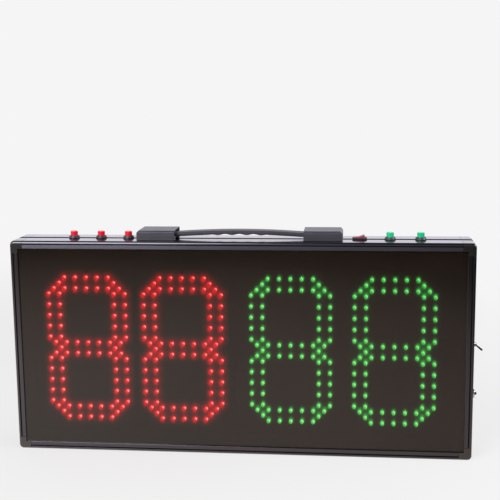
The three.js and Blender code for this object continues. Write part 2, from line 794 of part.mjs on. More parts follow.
function socketBody() {
  const seat = -sheetInset;
  const floor = socketBarrelLength - socketBoreDepth;
  const shell = turned([
    [0, seat - socketBodyDepth], [socketBodyRadius, seat - socketBodyDepth],
    [socketBodyRadius, seat], [socketBarrelRadius, seat],
    [socketBarrelRadius, socketBarrelLength], [socketBoreRadius, socketBarrelLength],
    [socketBoreRadius, floor], [socketPinRadius, floor],
    [socketPinRadius, socketBarrelLength - socketPinInset], [0, socketBarrelLength - socketPinInset],
  ], roundSides);
  const terminals = [-1, 1].map((side) => block(
    about(side * socketTerminalSpacing / 2, socketTerminalThickness), about(0, socketTerminalWidth),
    [seat - socketBodyDepth - socketTerminalLength, seat - socketBodyDepth + seatGap]));
  return join(shell, ...terminals);
}

function socketNut() {
  const span = [seatGap, seatGap + socketNutThickness];
  return cut(
    rod(socketNutRadius, span, roundSides),
    rod(socketBarrelRadius + seatGap, [-cutOverrun, span[1] + cutOverrun], roundSides));
}

function dustPlug() {
  const under = socketBarrelLength + seatGap;
  const pinRoom = socketPinRadius + seatGap;
  const stemEnd = socketBarrelLength - plugStemLength;
  return turned([
    [pinRoom, stemEnd],
    [socketBoreRadius - seatGap, stemEnd],
    [socketBoreRadius - seatGap, under],
    [plugFlangeRadius, under],
    [plugFlangeRadius, under + plugFlangeThickness],
    [plugNubRadius, under + plugFlangeThickness],
    [plugNubRadius, plugHeight],
    [0, plugHeight],
    [0, socketBarrelLength - socketPinInset + seatGap],
    [pinRoom, socketBarrelLength - socketPinInset + seatGap],
    [pinRoom, stemEnd],
  ], roundSides);
}

// Handle parts, drawn with the top of the rail at Z = 0; caps and plates for the right end

function endCap() {
  const half = capDepth / 2;
  const foot = seatGap;
  const inner = [-capLength / 2, capLength / 2];
  const sideSection = [
    [-half, foot], [half, foot], [half, capHeight - capSideChamfer], [half - capSideChamfer, capHeight],
    [-half + capSideChamfer, capHeight], [-half, capHeight - capSideChamfer],
  ];
  const endSection = outline([
    [inner[0], foot], [inner[1], foot], [inner[1], capHeight - capEndChamfer],
    [inner[1] - capEndChamfer, capHeight], [inner[0], capHeight],
  ]);
  const shell = prismX(sideSection, inner).intersect(prismY(endSection, about(0, capDepth + 2 * cutOverrun)));
  const roof = capHeight - capRoofThickness;
  const cavity = block(
    [inner[0] - cutOverrun, inner[1] - capWall], about(0, strapWidth + 2 * capWall),
    [-cutOverrun, roof]);
  return cut(shell, cavity);
}

function basePlate() {
  const span = [-capLength / 2 + capWall, capLength / 2 - capWall - seatGap];
  const plate = block(span, about(0, strapWidth + 2 * capWall - 2 * seatGap), [seatGap, basePlateTop]);
  const hole = rod(rivetShankRadius + seatGap, [0, basePlateTop + cutOverrun], smallRoundSides)
    .translate([rivetPlace - capMiddle, 0, 0]);
  return cut(plate, hole);
}

function handleRivet() {
  const head = strapBottom + strapTongueThickness + strapLift + seatGap;
  return turned([
    [0, -railWall - seatGap - rivetTailThickness],
    [rivetTailRadius, -railWall - seatGap - rivetTailThickness],
    [rivetTailRadius, -railWall - seatGap],
    [rivetShankRadius, -railWall - seatGap],
    [rivetShankRadius, basePlateTop + seatGap],
    [rivetSpacerRadius, basePlateTop + seatGap],
    [rivetSpacerRadius, head],
    [rivetHeadRadius, head],
    [rivetHeadRadius, head + rivetHeadThickness],
    [0, head + rivetHeadThickness],
  ], roundSides);
}

// The strap is one closed skin: rings of points round a squared oval, carried along an arch.
// A ring's lower half is pushed down where a finger ridge is.
const strapHalfLength = handleLength / 2 - capLength + strapEndEngagement;

function strapSkin() {
  const steps = 2 * Math.round(strapHalfLength / gripPitch * strapStepsPerGrip);
  const middle = strapBottom + strapThickness / 2;
  const positions = [];
  const index = [];
  const signedPower = (value) => Math.sign(value) * Math.abs(value) ** strapEdgePower;
  for (let i = 0; i <= steps; i += 1) {
    const x = strapHalfLength * (2 * i / steps - 1);
    const rise = strapArch * (1 - (x / strapHalfLength) ** 2);
    const fade = Math.max(0, 1 - (x / gripReach) ** gripFadePower);
    const ridge = gripDepth * fade * Math.cos(2 * Math.PI * (x / gripPitch - 0.5));
    for (let k = 0; k < strapSectionSides; k += 1) {
      const angle = 2 * Math.PI * (k + 0.5) / strapSectionSides;
      const across = strapWidth / 2 * signedPower(Math.cos(angle));
      const up = strapThickness / 2 * signedPower(Math.sin(angle));
      positions.push(x, across, middle + rise + up - (up < 0 ? ridge : 0));
    }
  }
  for (let i = 0; i < steps; i += 1) {
    for (let k = 0; k < strapSectionSides; k += 1) {
      const next = (k + 1) % strapSectionSides;
      const [a, b] = [i * strapSectionSides + k, i * strapSectionSides + next];
      const [c, d] = [a + strapSectionSides, b + strapSectionSides];
      index.push(a, b, d, a, d, c);
    }
  }
  const last = steps * strapSectionSides;
  for (let k = 1; k < strapSectionSides - 1; k += 1) {
    index.push(0, k + 1, k, last, last + k, last + k + 1);
  }
  const geometry = new THREE.BufferGeometry();
  geometry.setAttribute('position', new THREE.Float32BufferAttribute(positions, 3));
  geometry.setIndex(index);
  return toSolid(geometry);
}

function handleStrap() {
  const tongues = [-1, 1].flatMap((side) => {
    const root = side * (strapHalfLength - strapTongueRoot);
    const end = side * (strapHalfLength + strapTongueLength);
    return block(
      [Math.min(root, end), Math.max(root, end)], about(0, strapTongueWidth),
      [strapBottom, strapBottom + strapTongueThickness]);
  });
  const slotWidth = 2 * (rivetSpacerRadius + seatGap);
  const slots = [-1, 1].map((side) => block(
    about(side * rivetPlace, strapSlotLength), about(0, slotWidth),
    [strapBottom - cutOverrun, strapBottom + strapTongueThickness + cutOverrun]));
  return cut(join(strapSkin(), ...tongues), ...slots);
}

// Frame
const quarterTurn = Math.PI / 2;
const railLeft = railBody(verticalRailLength);
addPart('rail_top', toGeometry(railTop()), blackAnodised, [0, 0, boardHeight]);
addPart('rail_bottom', toGeometry(screwedRail()), blackAnodised, [0, 0, 0], 2 * quarterTurn);
addPart('rail_left', toGeometry(railLeft), blackAnodised, [-halfWidth, 0, halfHeight], -quarterTurn);
addPart('rail_right', toGeometry(railRight()), blackAnodised, [halfWidth, 0, halfHeight], quarterTurn);

const cornerGeometry = toGeometry(cornerPiece());
const cornerPlaces = [
  ['corner_top_right', halfWidth, boardHeight, 0],
  ['corner_bottom_right', halfWidth, 0, quarterTurn],
  ['corner_bottom_left', -halfWidth, 0, 2 * quarterTurn],
  ['corner_top_left', -halfWidth, boardHeight, 3 * quarterTurn],
];
for (const [name, x, z, turn] of cornerPlaces) {
  addPart(name, cornerGeometry, blackMoulding, [x, 0, z], turn);
}

const screwGeometry = toGeometry(alongY(turned(cornerScrewProfile(0), smallRoundSides)));
for (const [side, sideSign] of [['left', -1], ['right', 1]]) {
  for (const [edge, z] of [['top', boardHeight - cornerScrewInset], ['bottom', cornerScrewInset]]) {
    const x = sideSign * (halfWidth - cornerScrewOffset);
    addPart(`corner_screw_${edge}_${side}`, screwGeometry, blackSteel, [x, cornerScrewFace, z]);
  }
}

// Sheets
const frontSheet = sheetBlank(frontSheetThickness, frontSlot[0] + seatGap);
addPart('front_sheet', toGeometry(frontSheet), smokedSheet, [0, 0, halfHeight]);
addPart('rear_panel', toGeometry(rearPanel()), rearSheetFinish, [0, 0, halfHeight]);

// Digits
const digitGeometry = toGeometry(digitBoard());
const postGeometry = toGeometry(supportPost());
digitPlaces.forEach((x, i) => {
  const finish = x < 0 ? redDisplay : greenDisplay;
  addPart(`digit_board_${i + 1}`, digitGeometry, finish, [x, boardFront, digitLevel]);
  addPart(`board_post_${i + 1}_top`, postGeometry, nylonBlack, [x, 0, digitLevel + postLevels[1]]);
  addPart(`board_post_${i + 1}_bottom`, postGeometry, nylonBlack, [x, 0, digitLevel + postLevels[0]]);
});

// Electronics
addPart('control_board', toGeometry(controlBoard()), circuitGreen, [0, 0, halfHeight]);
addPart('battery_pack', toGeometry(batteryPack()), batteryBlue, [0, 0, halfHeight]);
addPart('battery_bracket', toGeometry(batteryBracket()), bareSteel, [0, 0, halfHeight]);

// Controls on top
const buttonBodyGeometry = toGeometry(buttonBody());
const buttonCapGeometry = toGeometry(buttonCap());
const buttonNutGeometry = toGeometry(buttonNut());
for (const { name, x, finish } of buttonPlaces) {
  addPart(`button_body_${name}`, buttonBodyGeometry, blackMoulding, [x, 0, boardHeight]);
  addPart(`button_cap_${name}`, buttonCapGeometry, finish, [x, 0, boardHeight]);
  addPart(`button_nut_${name}`, buttonNutGeometry, blackSteel, [x, 0, boardHeight]);
}
const rockerPlace = rightControlPlaces[0];
addPart('rocker_housing', toGeometry(rockerHousing()), blackMoulding, [rockerPlace, 0, boardHeight]);
addPart(
  'rocker', toGeometry(rockerPaddle()), rockerRed, [rockerPlace, 0, boardHeight + rockerPivotHeight],
  -THREE.MathUtils.degToRad(rockerTiltDegrees));

// Controls in the right rail, whose axis is turned to point along +X
function sideControl(level) {
  const group = new THREE.Group();
  group.position.set(halfWidth, 0, level);
  group.rotation.y = quarterTurn;
  board.add(group);
  return group;
}

const toggle = sideControl(toggleLevel);
addPart('toggle_body', toGeometry(toggleBody()), bareSteel, [0, 0, 0], 0, toggle);
addPart('toggle_nut', toGeometry(toggleNut()), bareSteel, [0, 0, 0], 0, toggle);
addPart(
  'toggle_lever', toGeometry(toggleLever()), blackMoulding, [0, 0, togglePivotHeight],
  THREE.MathUtils.degToRad(toggleTiltDegrees), toggle);

const socket = sideControl(socketLevel);
addPart('socket_body', toGeometry(socketBody()), blackMoulding, [0, 0, 0], 0, socket);
addPart('socket_nut', toGeometry(socketNut()), blackSteel, [0, 0, 0], 0, socket);
addPart('dust_plug', toGeometry(dustPlug()), plugRubber, [0, 0, 0], 0, socket);

// Handle
const capGeometry = toGeometry(endCap());
const plateGeometry = toGeometry(basePlate());
const rivetGeometry = toGeometry(handleRivet());
for (const [side, sideSign, turn] of [['right', 1, 0], ['left', -1, 2 * quarterTurn]]) {
  const end = new THREE.Group();
  end.position.set(sideSign * capMiddle, 0, boardHeight);
  end.rotation.z = turn;
  board.add(end);
  addPart(`handle_cap_${side}`, capGeometry, handleRubber, [0, 0, 0], 0, end);
  addPart(`handle_plate_${side}`, plateGeometry, bareSteel, [0, 0, 0], 0, end);
  addPart(`handle_rivet_${side}`, rivetGeometry, bareSteel, [rivetPlace - capMiddle, 0, 0], 0, end);
}
addPart('handle_strap', toGeometry(handleStrap()), handleRubber, [0, 0, boardHeight]);

export default board;
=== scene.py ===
# %% [markdown]
# # A portable substitution board
#
# The object is a wide, shallow box of black aluminium rail. A smoked plastic sheet closes
# its front, and four digits built from round LEDs stand behind that sheet. Five push
# buttons, a rocker switch and a strap handle sit on the top rail; a toggle switch and a
# charging socket sit on the right one. The model that was packed before this script gives
# every piece its place, and this lesson gives each one its fine shape and its finish.
#
# Shapes are worked out in millimetres, and only the last step of each turns them to metres.

# %% Load the frame
import math

import bmesh
import bpy
import numpy as np
from mathutils import Matrix, Vector


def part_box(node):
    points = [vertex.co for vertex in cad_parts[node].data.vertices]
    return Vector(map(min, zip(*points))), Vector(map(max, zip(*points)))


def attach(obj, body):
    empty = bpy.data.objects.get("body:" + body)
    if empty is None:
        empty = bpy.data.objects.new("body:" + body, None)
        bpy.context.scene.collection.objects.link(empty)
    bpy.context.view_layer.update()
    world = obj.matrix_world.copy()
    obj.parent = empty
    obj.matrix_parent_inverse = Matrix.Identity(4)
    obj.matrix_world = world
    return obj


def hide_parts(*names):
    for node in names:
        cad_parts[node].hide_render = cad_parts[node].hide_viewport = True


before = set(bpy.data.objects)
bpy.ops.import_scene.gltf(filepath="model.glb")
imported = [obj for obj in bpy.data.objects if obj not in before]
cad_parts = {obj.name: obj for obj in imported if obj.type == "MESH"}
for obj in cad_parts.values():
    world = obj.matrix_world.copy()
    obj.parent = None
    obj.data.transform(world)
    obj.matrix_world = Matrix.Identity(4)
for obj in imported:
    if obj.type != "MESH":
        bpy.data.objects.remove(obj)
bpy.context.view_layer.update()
scene = bpy.context.scene
scene.view_settings.view_transform = "Standard"


# %% [markdown]
# ## Sizes that the frame gives
#
# A part rests on what carries it, so the outer sizes are read from the loaded nodes and
# aren't typed again. What the nodes' boxes can't say, such as the width of a groove, is
# named beside the piece that has it.

# %% Boxes in millimetres
MM = 0.001


def box_of(node):
    """Lowest and highest corner of a node, in millimetres."""
    low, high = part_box(node)
    return np.array(low) / MM, np.array(high) / MM


_, top_high = box_of("rail_top")
right_low, right_high = box_of("rail_right")
half_width = right_high[0]
board_height = top_high[2]
half_height = board_height / 2
half_depth = top_high[1]
rail_end = top_high[0]
side_rail_span = np.array([right_low[2], right_high[2]])
sheet_low, sheet_high = box_of("front_sheet")
panel_low, panel_high = box_of("rear_panel")
seat_gap = 0.3
print("board:", 2 * half_width, "wide,", board_height, "high,", 2 * half_depth, "deep")


# %% [markdown]
# ## The view
#
# The camera stands a little to the right of the board and above it. A long lens keeps the
# four digits nearly the same size, as they are on a real display seen from a step away.
# The view tells where the camera stands, what it aims at and how far it is rolled.

# %% Camera
camera_place = Vector((0.16071, -1.37073, 0.51232))
camera_aim = Vector((0.01704, -0.033, 0.29138))
camera_roll = math.radians(-0.621)
camera_lens = 72.303


def set_camera():
    """Points the camera's -Z axis from its place to its aim, then turns it about that axis."""
    camera = bpy.data.objects.new("camera", bpy.data.cameras.new("camera"))
    camera.data.lens = camera_lens
    turn = (camera_aim - camera_place).to_track_quat("-Z", "Y").to_matrix()
    turn = turn @ Matrix.Rotation(camera_roll, 3, "Z")
    camera.matrix_world = Matrix.Translation(camera_place) @ turn.to_4x4()
    scene.collection.objects.link(camera)
    scene.camera = camera
    return camera


view_camera = set_camera()
print("camera looks along", [round(v, 3) for v in -view_camera.matrix_world.col[2].xyz])


# %% [markdown]
# ## Node trees in a few words
#
# Every finish is a Principled shader with a few nodes in front of it. Small helpers keep
# those trees readable: one turns a screen colour into the linear colour that a socket takes,
# one makes a node with its links, and the others are the few patterns that repeat.

# %% Material helpers
def linear(red, green, blue):
    """Screen colour 0-255 to linear light: the standard curve with its short straight start."""
    share = np.array([red, green, blue]) / 255
    return (*np.where(share <= 0.04045, share / 12.92, ((share + 0.055) / 1.055) ** 2.4), 1.0)


def new_material(name):
    """A material with its tree, its Principled shader and its object coordinates."""
    material = bpy.data.materials.new(name)
    material.use_nodes = True
    tree = material.node_tree
    shader = tree.nodes["Principled BSDF"]
    place = tree.nodes.new("ShaderNodeTexCoord").outputs["Object"]
    return material, tree, shader, place


def add_node(tree, kind, inputs=(), **settings):
    """One node: its settings by name, then its input values or links by socket name."""
    node = tree.nodes.new("ShaderNode" + kind)
    for key, value in settings.items():
        setattr(node, key, value)
    for socket, value in dict(inputs).items():
        if isinstance(value, bpy.types.NodeSocket):
            tree.links.new(value, node.inputs[socket])
        else:
            node.inputs[socket].default_value = value
    return node


def stretched(tree, place, scale):
    """Coordinates multiplied by scale, so that a pattern is drawn out along the small ones."""
    return add_node(tree, "Mapping", {"Vector": place, "Scale": scale}).outputs["Vector"]


def noise(tree, place, scale, detail=3.0, roughness=0.5):
    """Cloud noise between 0 and 1."""
    inputs = {"Vector": place, "Scale": scale, "Detail": detail, "Roughness": roughness}
    return add_node(tree, "TexNoise", inputs).outputs["Fac"]


def ramp(tree, value, stops):
    """A colour ramp through stops of (position, colour)."""
    node = add_node(tree, "ValToRGB", {"Fac": value})
    marks = node.color_ramp.elements
    while len(marks) < len(stops):
        marks.new(0.5)
    for mark, (position, colour) in zip(marks, stops):
        mark.position = position
        mark.color = colour
    return node.outputs["Color"]


def remapped(tree, value, low, high, new_low=0.0, new_high=1.0):
    """Maps a value from one range to another and keeps it inside."""
    inputs = {"Value": value, "From Min": low, "From Max": high,
              "To Min": new_low, "To Max": new_high}
    return add_node(tree, "MapRange", inputs).outputs["Result"]


def multiplied(tree, first, second):
    """The product of two values."""
    return add_node(tree, "Math", {0: first, 1: second}, operation="MULTIPLY").outputs[0]


def mixed(tree, share, first, second):
    """A mix of two shader nodes, by the share of the second."""
    node = add_node(tree, "MixShader", {"Fac": share})
    tree.links.new(first.outputs[0], node.inputs[1])
    tree.links.new(second.outputs[0], node.inputs[2])
    return node


def bumped(tree, shader, height, distance):
    """Turns the surface's normal by a height pattern, whose full height is distance in metres."""
    bump = add_node(tree, "Bump", {"Height": height, "Strength": 1.0, "Distance": distance})
    tree.links.new(bump.outputs["Normal"], shader.inputs["Normal"])


def constants(shader, **values):
    """Sets the shader's own sockets; a name's underscores stand for spaces."""
    for name, value in values.items():
        shader.inputs[name.replace("_", " ")].default_value = value


# %% [markdown]
# ## Finishes
#
# Most pieces are one of a family: a colour that drifts a little, a fine grain that moves
# the roughness, and a shallow relief. What differs is how the grain is drawn: rails are
# drawn along their length, mouldings have an even leathery texture, and zinc is mottled.

# %% The common finish
noise_span = (0.3, 0.7)
drift_scale = 28.0


def drifting(tree, shader, cloud, dark, light):
    """Colour that follows a noise, which keeps mostly between the two ends of noise_span."""
    stops = [(noise_span[0], linear(*dark)), (noise_span[1], linear(*light))]
    tree.links.new(ramp(tree, cloud, stops), shader.inputs["Base Color"])


def grained_finish(name, light, dark, roughness, grain, relief, **sockets):
    """Colour drifts between light and dark over a few centimetres. grain is (scale, stretch)
    of the fine pattern; it moves the roughness between its two values and raises relief."""
    material, tree, shader, place = new_material(name)
    drifting(tree, shader, noise(tree, place, drift_scale, 4.0), dark, light)
    fine = noise(tree, stretched(tree, place, grain[1]), grain[0], 4.0, 0.6)
    tree.links.new(remapped(tree, fine, *noise_span, *roughness), shader.inputs["Roughness"])
    bumped(tree, shader, fine, relief)
    constants(shader, **sockets)
    return material


lengthwise = (0.02, 1.0, 1.0)
upright = (1.0, 1.0, 0.02)
even = (1.0, 1.0, 1.0)
rail_colours = ((17, 17, 20), (9, 9, 12), (0.16, 0.24))
rail_look = dict(Specular_IOR_Level=0.9, Coat_Weight=0.6, Coat_Roughness=0.06,
                 Specular_Tint=linear(236, 232, 255))
button_coat = dict(Coat_Weight=0.3, Coat_Roughness=0.1)
rail_finish = grained_finish(
    "drawn black rail", *rail_colours, (900.0, lengthwise), 0.000012, **rail_look)
side_rail_finish = grained_finish(
    "drawn black side rail", *rail_colours, (900.0, upright), 0.000012, **rail_look)
moulding_finish = grained_finish(
    "black corner moulding", (18, 18, 20), (11, 11, 13), (0.2, 0.3), (1400.0, even), 0.00001,
    Specular_IOR_Level=0.85, Coat_Weight=0.6, Coat_Roughness=0.06)
rear_sheet_finish = grained_finish(
    "black coated rear sheet", (34, 34, 36), (24, 24, 26), (0.42, 0.55), (700.0, even), 0.00003)
steel_finish = grained_finish(
    "zinc plated steel", (196, 198, 202), (160, 163, 168), (0.22, 0.4), (420.0, even), 0.00001,
    Metallic=1.0)
black_steel_finish = grained_finish(
    "blackened steel", (48, 48, 50), (30, 30, 33), (0.28, 0.45), (420.0, even), 0.00001,
    Metallic=0.8)
chrome_finish = grained_finish(
    "bright nickel", (226, 228, 232), (205, 207, 212), (0.08, 0.16), (300.0, even), 0.000004,
    Metallic=1.0)
# Painted shade: the faces inside the grooves and the channel get this duller, darker black.
groove_shade_finish = grained_finish(
    "painted shade in grooves", (9, 9, 11), (5, 5, 7), (0.5, 0.65), (700.0, even), 0.00001,
    Specular_IOR_Level=0.1)
nylon_finish = grained_finish(
    "black nylon", (44, 44, 46), (30, 30, 32), (0.4, 0.55), (900.0, even), 0.00002)
cap_finish = grained_finish(
    "dark grey handle moulding", (62, 60, 71), (50, 48, 58), (0.3, 0.42), (900.0, even), 0.00002,
    Specular_IOR_Level=0.6)
strap_finish = grained_finish(
    "dark grey strap rubber", (54, 52, 63), (40, 38, 49), (0.42, 0.56), (1100.0, even), 0.00004,
    Sheen_Weight=0.15, Sheen_Roughness=0.4)
collar_finish = grained_finish(
    "dark collar plastic", (66, 64, 74), (48, 46, 56), (0.28, 0.4), (800.0, even), 0.00001)
red_button_finish = grained_finish(
    "red button plastic", (238, 22, 52), (222, 12, 40), (0.22, 0.32), (600.0, even), 0.00001,
    **button_coat)
green_button_finish = grained_finish(
    "green button plastic", (20, 206, 142), (12, 188, 128), (0.22, 0.32), (600.0, even), 0.00001,
    **button_coat)
rocker_finish = grained_finish(
    "dusky red rocker plastic", (158, 72, 94), (140, 60, 82), (0.26, 0.36), (600.0, even), 0.00001,
    Coat_Weight=0.2, Coat_Roughness=0.15)
plug_finish = grained_finish(
    "black plug rubber", (38, 38, 40), (26, 26, 28), (0.5, 0.65), (900.0, even), 0.00003)
wrap_finish = grained_finish(
    "blue heat-shrink wrap", (42, 92, 168), (28, 68, 138), (0.2, 0.4),
    (90.0, (1.0, 1.0, 0.25)), 0.0002, Coat_Weight=0.4, Coat_Roughness=0.1)
inner_board_finish = grained_finish(
    "green circuit board", (30, 104, 60), (20, 78, 44), (0.3, 0.5),
    (700.0, (1.0, 1.0, 0.15)), 0.00003)
print("finishes:", len(bpy.data.materials))


# %% [markdown]
# ## Surfaces from arrays
#
# A surface here is a pair: an array of points in millimetres, and blocks of faces that
# index them. Almost every piece is one of two kinds. A skin is a stack of rings, each ring
# the same number of points, with quads between neighbours and a lid on each end. A turned
# body is a skin whose rings are circles. Whole arrays are computed at once, because numpy
# does in one line what a loop over vertices does slowly.

# %% Grids, skins and turned bodies
def grid_faces(rows, columns, wrap):
    """Quads of a grid stored row by row: (i, j), (i, j+1), (i+1, j+1), (i+1, j).
    With wrap, the last column is joined to the first."""
    row, column = np.mgrid[0:rows - 1, 0:columns if wrap else columns - 1]
    following = (column + 1) % columns
    quads = [row * columns + column, row * columns + following,
             (row + 1) * columns + following, (row + 1) * columns + column]
    return np.stack(quads, axis=-1).reshape(-1, 4)


def skin(rings):
    """A closed body from rings of shape (rings, points, 3), with an n-gon on each end."""
    count, around = rings.shape[:2]
    first = np.arange(around)[None, ::-1]
    last = np.arange(around)[None] + (count - 1) * around
    return rings.reshape(-1, 3), [grid_faces(count, around, True), first, last]


def joined(surfaces):
    """Several surfaces as one: points stacked, face indices moved on by the points before."""
    starts = np.cumsum([0] + [len(points) for points, _ in surfaces[:-1]])
    blocks = [block + start for (_, own), start in zip(surfaces, starts) for block in own]
    return np.concatenate([points for points, _ in surfaces]), blocks


least_radius = 1e-5


def rounded(corners, radii, steps=5):
    """Each corner of a closed outline becomes an arc. It starts r / tan(a/2) before the corner,
    where a is the corner's inner angle, and its centre is r / sin(a/2) along the bisector."""
    corners = np.array(corners, dtype=float)
    radii = np.maximum(np.broadcast_to(radii, len(corners)), least_radius)[:, None]
    before = np.roll(corners, 1, axis=0) - corners
    after = np.roll(corners, -1, axis=0) - corners
    before /= np.linalg.norm(before, axis=1, keepdims=True)
    after /= np.linalg.norm(after, axis=1, keepdims=True)
    half = np.arccos(np.clip((before * after).sum(axis=1, keepdims=True), -1, 1)) / 2
    bisector = before + after
    bisector /= np.linalg.norm(bisector, axis=1, keepdims=True)
    centre = corners + bisector * radii / np.sin(half)
    start = corners + before * radii / np.tan(half) - centre
    end = corners + after * radii / np.tan(half) - centre
    sweep = (np.pi - 2 * half)[:, None]
    share = np.linspace(0, 1, steps + 1)[None, :, None]
    arc = np.sin((1 - share) * sweep) * start[:, None] + np.sin(share * sweep) * end[:, None]
    return (centre[:, None] + arc / np.sin(sweep)).reshape(-1, 2)


def rounded_rows(rows, steps):
    """The same from rows of (x, y, radius)."""
    rows = np.array(rows)
    return rounded(rows[:, :2], rows[:, 2], steps)


def rectangle(width, height, radius, steps=5):
    """The outline of a rectangle with round corners, centred on the origin."""
    corners = np.array([[1, 1], [-1, 1], [-1, -1], [1, -1]]) * [width / 2, height / 2]
    return rounded(corners, radius, steps)


def round_rims(edge, span, steps=3):
    """Insets and levels of rings along a span, whose two rims are quarter circles: at an angle
    t over the rim a ring is drawn in by edge (1 - cos t) and stands edge sin t proud."""
    turn = np.linspace(0, np.pi / 2, steps + 1)
    steep, flat = edge * (1 - np.sin(turn)), edge * (1 - np.cos(turn))
    return np.concatenate([steep, flat]), np.concatenate([span[0] + flat, span[1] - steep])


def slab(width, height, radius, span, edge=0.3, steps=5):
    """A rounded rectangle in X and Y, thick along Z, with round rims."""
    rings = []
    for inset, level in zip(*round_rims(edge, span)):
        outline = rectangle(width - 2 * inset, height - 2 * inset, max(radius - inset, 0), steps)
        rings.append(np.column_stack([outline, np.full(len(outline), level)]))
    return skin(np.stack(rings))


def turned(profile, sides=32, hexagon=None):
    """A body turned about Z from (radius, height) points. Where hexagon is 1 the circle becomes
    a six-sided outline with flats at that radius: r cos(0) / cos(angle to the nearest flat)."""
    radius, height = np.array(profile, dtype=float).T
    angle = np.arange(sides) * 2 * np.pi / sides
    to_flat = np.mod(angle, np.pi / 3) - np.pi / 6
    flats = np.zeros(len(radius)) if hexagon is None else np.array(hexagon, dtype=float)
    reach = radius[:, None] * (1 + flats[:, None] * (1 / np.cos(to_flat) - 1))
    level = np.repeat(height[:, None], sides, axis=1)
    return skin(np.stack([reach * np.cos(angle), reach * np.sin(angle), level], axis=-1))


def ring(profile, sides=48, hexagon=None):
    """A turned body with a hole through it: its outline closes on itself, so it has no lids."""
    flats = None if hexagon is None else [*hexagon, hexagon[0]]
    points, _ = turned([*profile, profile[0]], sides, flats)
    return points, [grid_faces(len(profile) + 1, sides, True)]


def arc(centre, radius, start, end, steps=5):
    """(radius, height) points of a rim: a circle of that radius about centre, in degrees."""
    turn = np.radians(np.linspace(start, end, steps + 1))
    return [(centre[0] + radius * np.cos(t), centre[1] + radius * np.sin(t)) for t in turn]


def thread(radius, span, pitch, depth):
    """(radius, height) points of a thread seen from the side: a zigzag one pitch long."""
    count = int(abs(span[1] - span[0]) / pitch)
    height = np.linspace(span[0], span[1], 2 * count + 1)
    return [(radius - depth * (i % 2), h) for i, h in enumerate(height)]


# %% [markdown]
# ## Where a shape stands
#
# Pieces are drawn in the pose that is easiest to think about, with their own axis upright.
# A set of three axes then turns them: upright on the top rail, lying along Y for screws
# and posts, or pointing out of the right rail for the side controls. A shape drawn as seen
# from the front, such as a sheet, is laid along Y too.

# %% Axes and places
UP = np.eye(3)
DOWN = np.diag([-1, 1, -1])
ABOUT = np.diag([-1, -1, 1])
BACK = np.array([[1, 0, 0], [0, 0, -1], [0, 1, 0]])
FRONT = np.array([[1, 0, 0], [0, 0, 1], [0, -1, 0]])
LYING = np.array([[1, 0, 0], [0, 0, 1], [0, 1, 0]])
RIGHT = np.array([[0, 0, -1], [0, 1, 0], [1, 0, 0]])
LEFT = np.array([[0, 0, 1], [0, 1, 0], [-1, 0, 0]])


def placed(surface, axes=UP, origin=(0, 0, 0)):
    """Every point becomes x times the first axis, plus y times the second, plus z times the
    third, plus the origin. A row of axes is where that local axis points."""
    points, blocks = surface
    return points @ axes + np.array(origin), blocks


# %% [markdown]
# ## From arrays to a finished piece
#
# A drilled hole isn't worth a formula of its own, so holes and joined lugs are made by the
# Boolean modifier, applied at once. Then doubles are merged, faces are turned outwards,
# sharp edges are marked by angle, and weighted normals keep the flat faces flat. A piece
# ends at the origin, rides on its body, and stands for the nodes that it replaces.

# %% Making a piece
weld_distance = 1e-7
groove_slack = 0.1
lip_slack = 0.25
face_slack = 0.02


def closed_mesh(name, surface):
    """A mesh in metres whose doubles are merged and whose faces point outwards."""
    points, blocks = surface
    mesh = bpy.data.meshes.new(name)
    faces = [face for block in blocks for face in block.tolist()]
    mesh.from_pydata((points * MM).tolist(), [], faces)
    work = bmesh.new()
    work.from_mesh(mesh)
    bmesh.ops.remove_doubles(work, verts=work.verts, dist=weld_distance)
    bmesh.ops.dissolve_degenerate(work, edges=work.edges, dist=weld_distance)
    bmesh.ops.recalc_face_normals(work, faces=work.faces)
    work.to_mesh(mesh)
    work.free()
    return mesh


def combine(piece, surface, operation):
    """Joins a surface to a piece or cuts it from it, with the modifier applied at once."""
    tool = bpy.data.objects.new("tool", closed_mesh("tool", surface))
    scene.collection.objects.link(tool)
    step = piece.modifiers.new("combine", "BOOLEAN")
    step.operation = operation
    step.solver = "EXACT"
    step.object = tool
    bpy.context.view_layer.update()
    graph = bpy.context.evaluated_depsgraph_get()
    mesh = bpy.data.meshes.new_from_object(piece.evaluated_get(graph))
    piece.modifiers.clear()
    old = piece.data
    piece.data = mesh
    bpy.data.meshes.remove(old)
    bpy.data.objects.remove(tool)


def add_piece(name, surface, finish, slot, body="case", replaced=(), joins=(), cuts=(), crease=32):
    """A finished piece: joined and cut, smooth but for edges sharper than crease degrees."""
    piece = bpy.data.objects.new(name, closed_mesh(name, surface))
    scene.collection.objects.link(piece)
    for extra in joins:
        combine(piece, extra, "UNION")
    for hole in cuts:
        combine(piece, hole, "DIFFERENCE")
    mesh = piece.data
    mesh.name = name
    mesh.materials.clear()
    mesh.materials.append(finish)
    mesh.polygons.foreach_set("material_index", np.zeros(len(mesh.polygons), dtype=np.int32))
    mesh.polygons.foreach_set("use_smooth", np.ones(len(mesh.polygons), dtype=bool))
    mesh.set_sharp_from_angle(angle=math.radians(crease))
    piece.modifiers.new("flat faces", "WEIGHTED_NORMAL").keep_sharp = True
    if replaced:
        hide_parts(*replaced)
    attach(piece, body)
    return piece


def shade_grooves(piece, depth):
    """Paints shade on the faces in the front and rear grooves and in the channel: they get a
    second, duller and darker finish. depth turns face middles into their distance inside the outer
    face of the frame."""
    centres = as_array(piece.data.polygons, "center")
    inside = depth(centres)
    across = np.abs(centres[:, 1])
    groove_end = groove_inset + groove_width
    in_groove = (inside > groove_inset - groove_slack) & (inside < groove_end + groove_slack)
    in_groove &= across > half_depth - groove_depth - groove_slack
    in_groove &= across < half_depth - lip_slack
    in_channel = (inside > face_slack) & (inside < channel_depth + groove_slack)
    in_channel &= across < channel_half_width
    # These faces get the painted shade.
    second = (in_groove | in_channel).astype(np.int32)
    piece.data.materials.append(groove_shade_finish)
    piece.data.polygons.foreach_set("material_index", second)


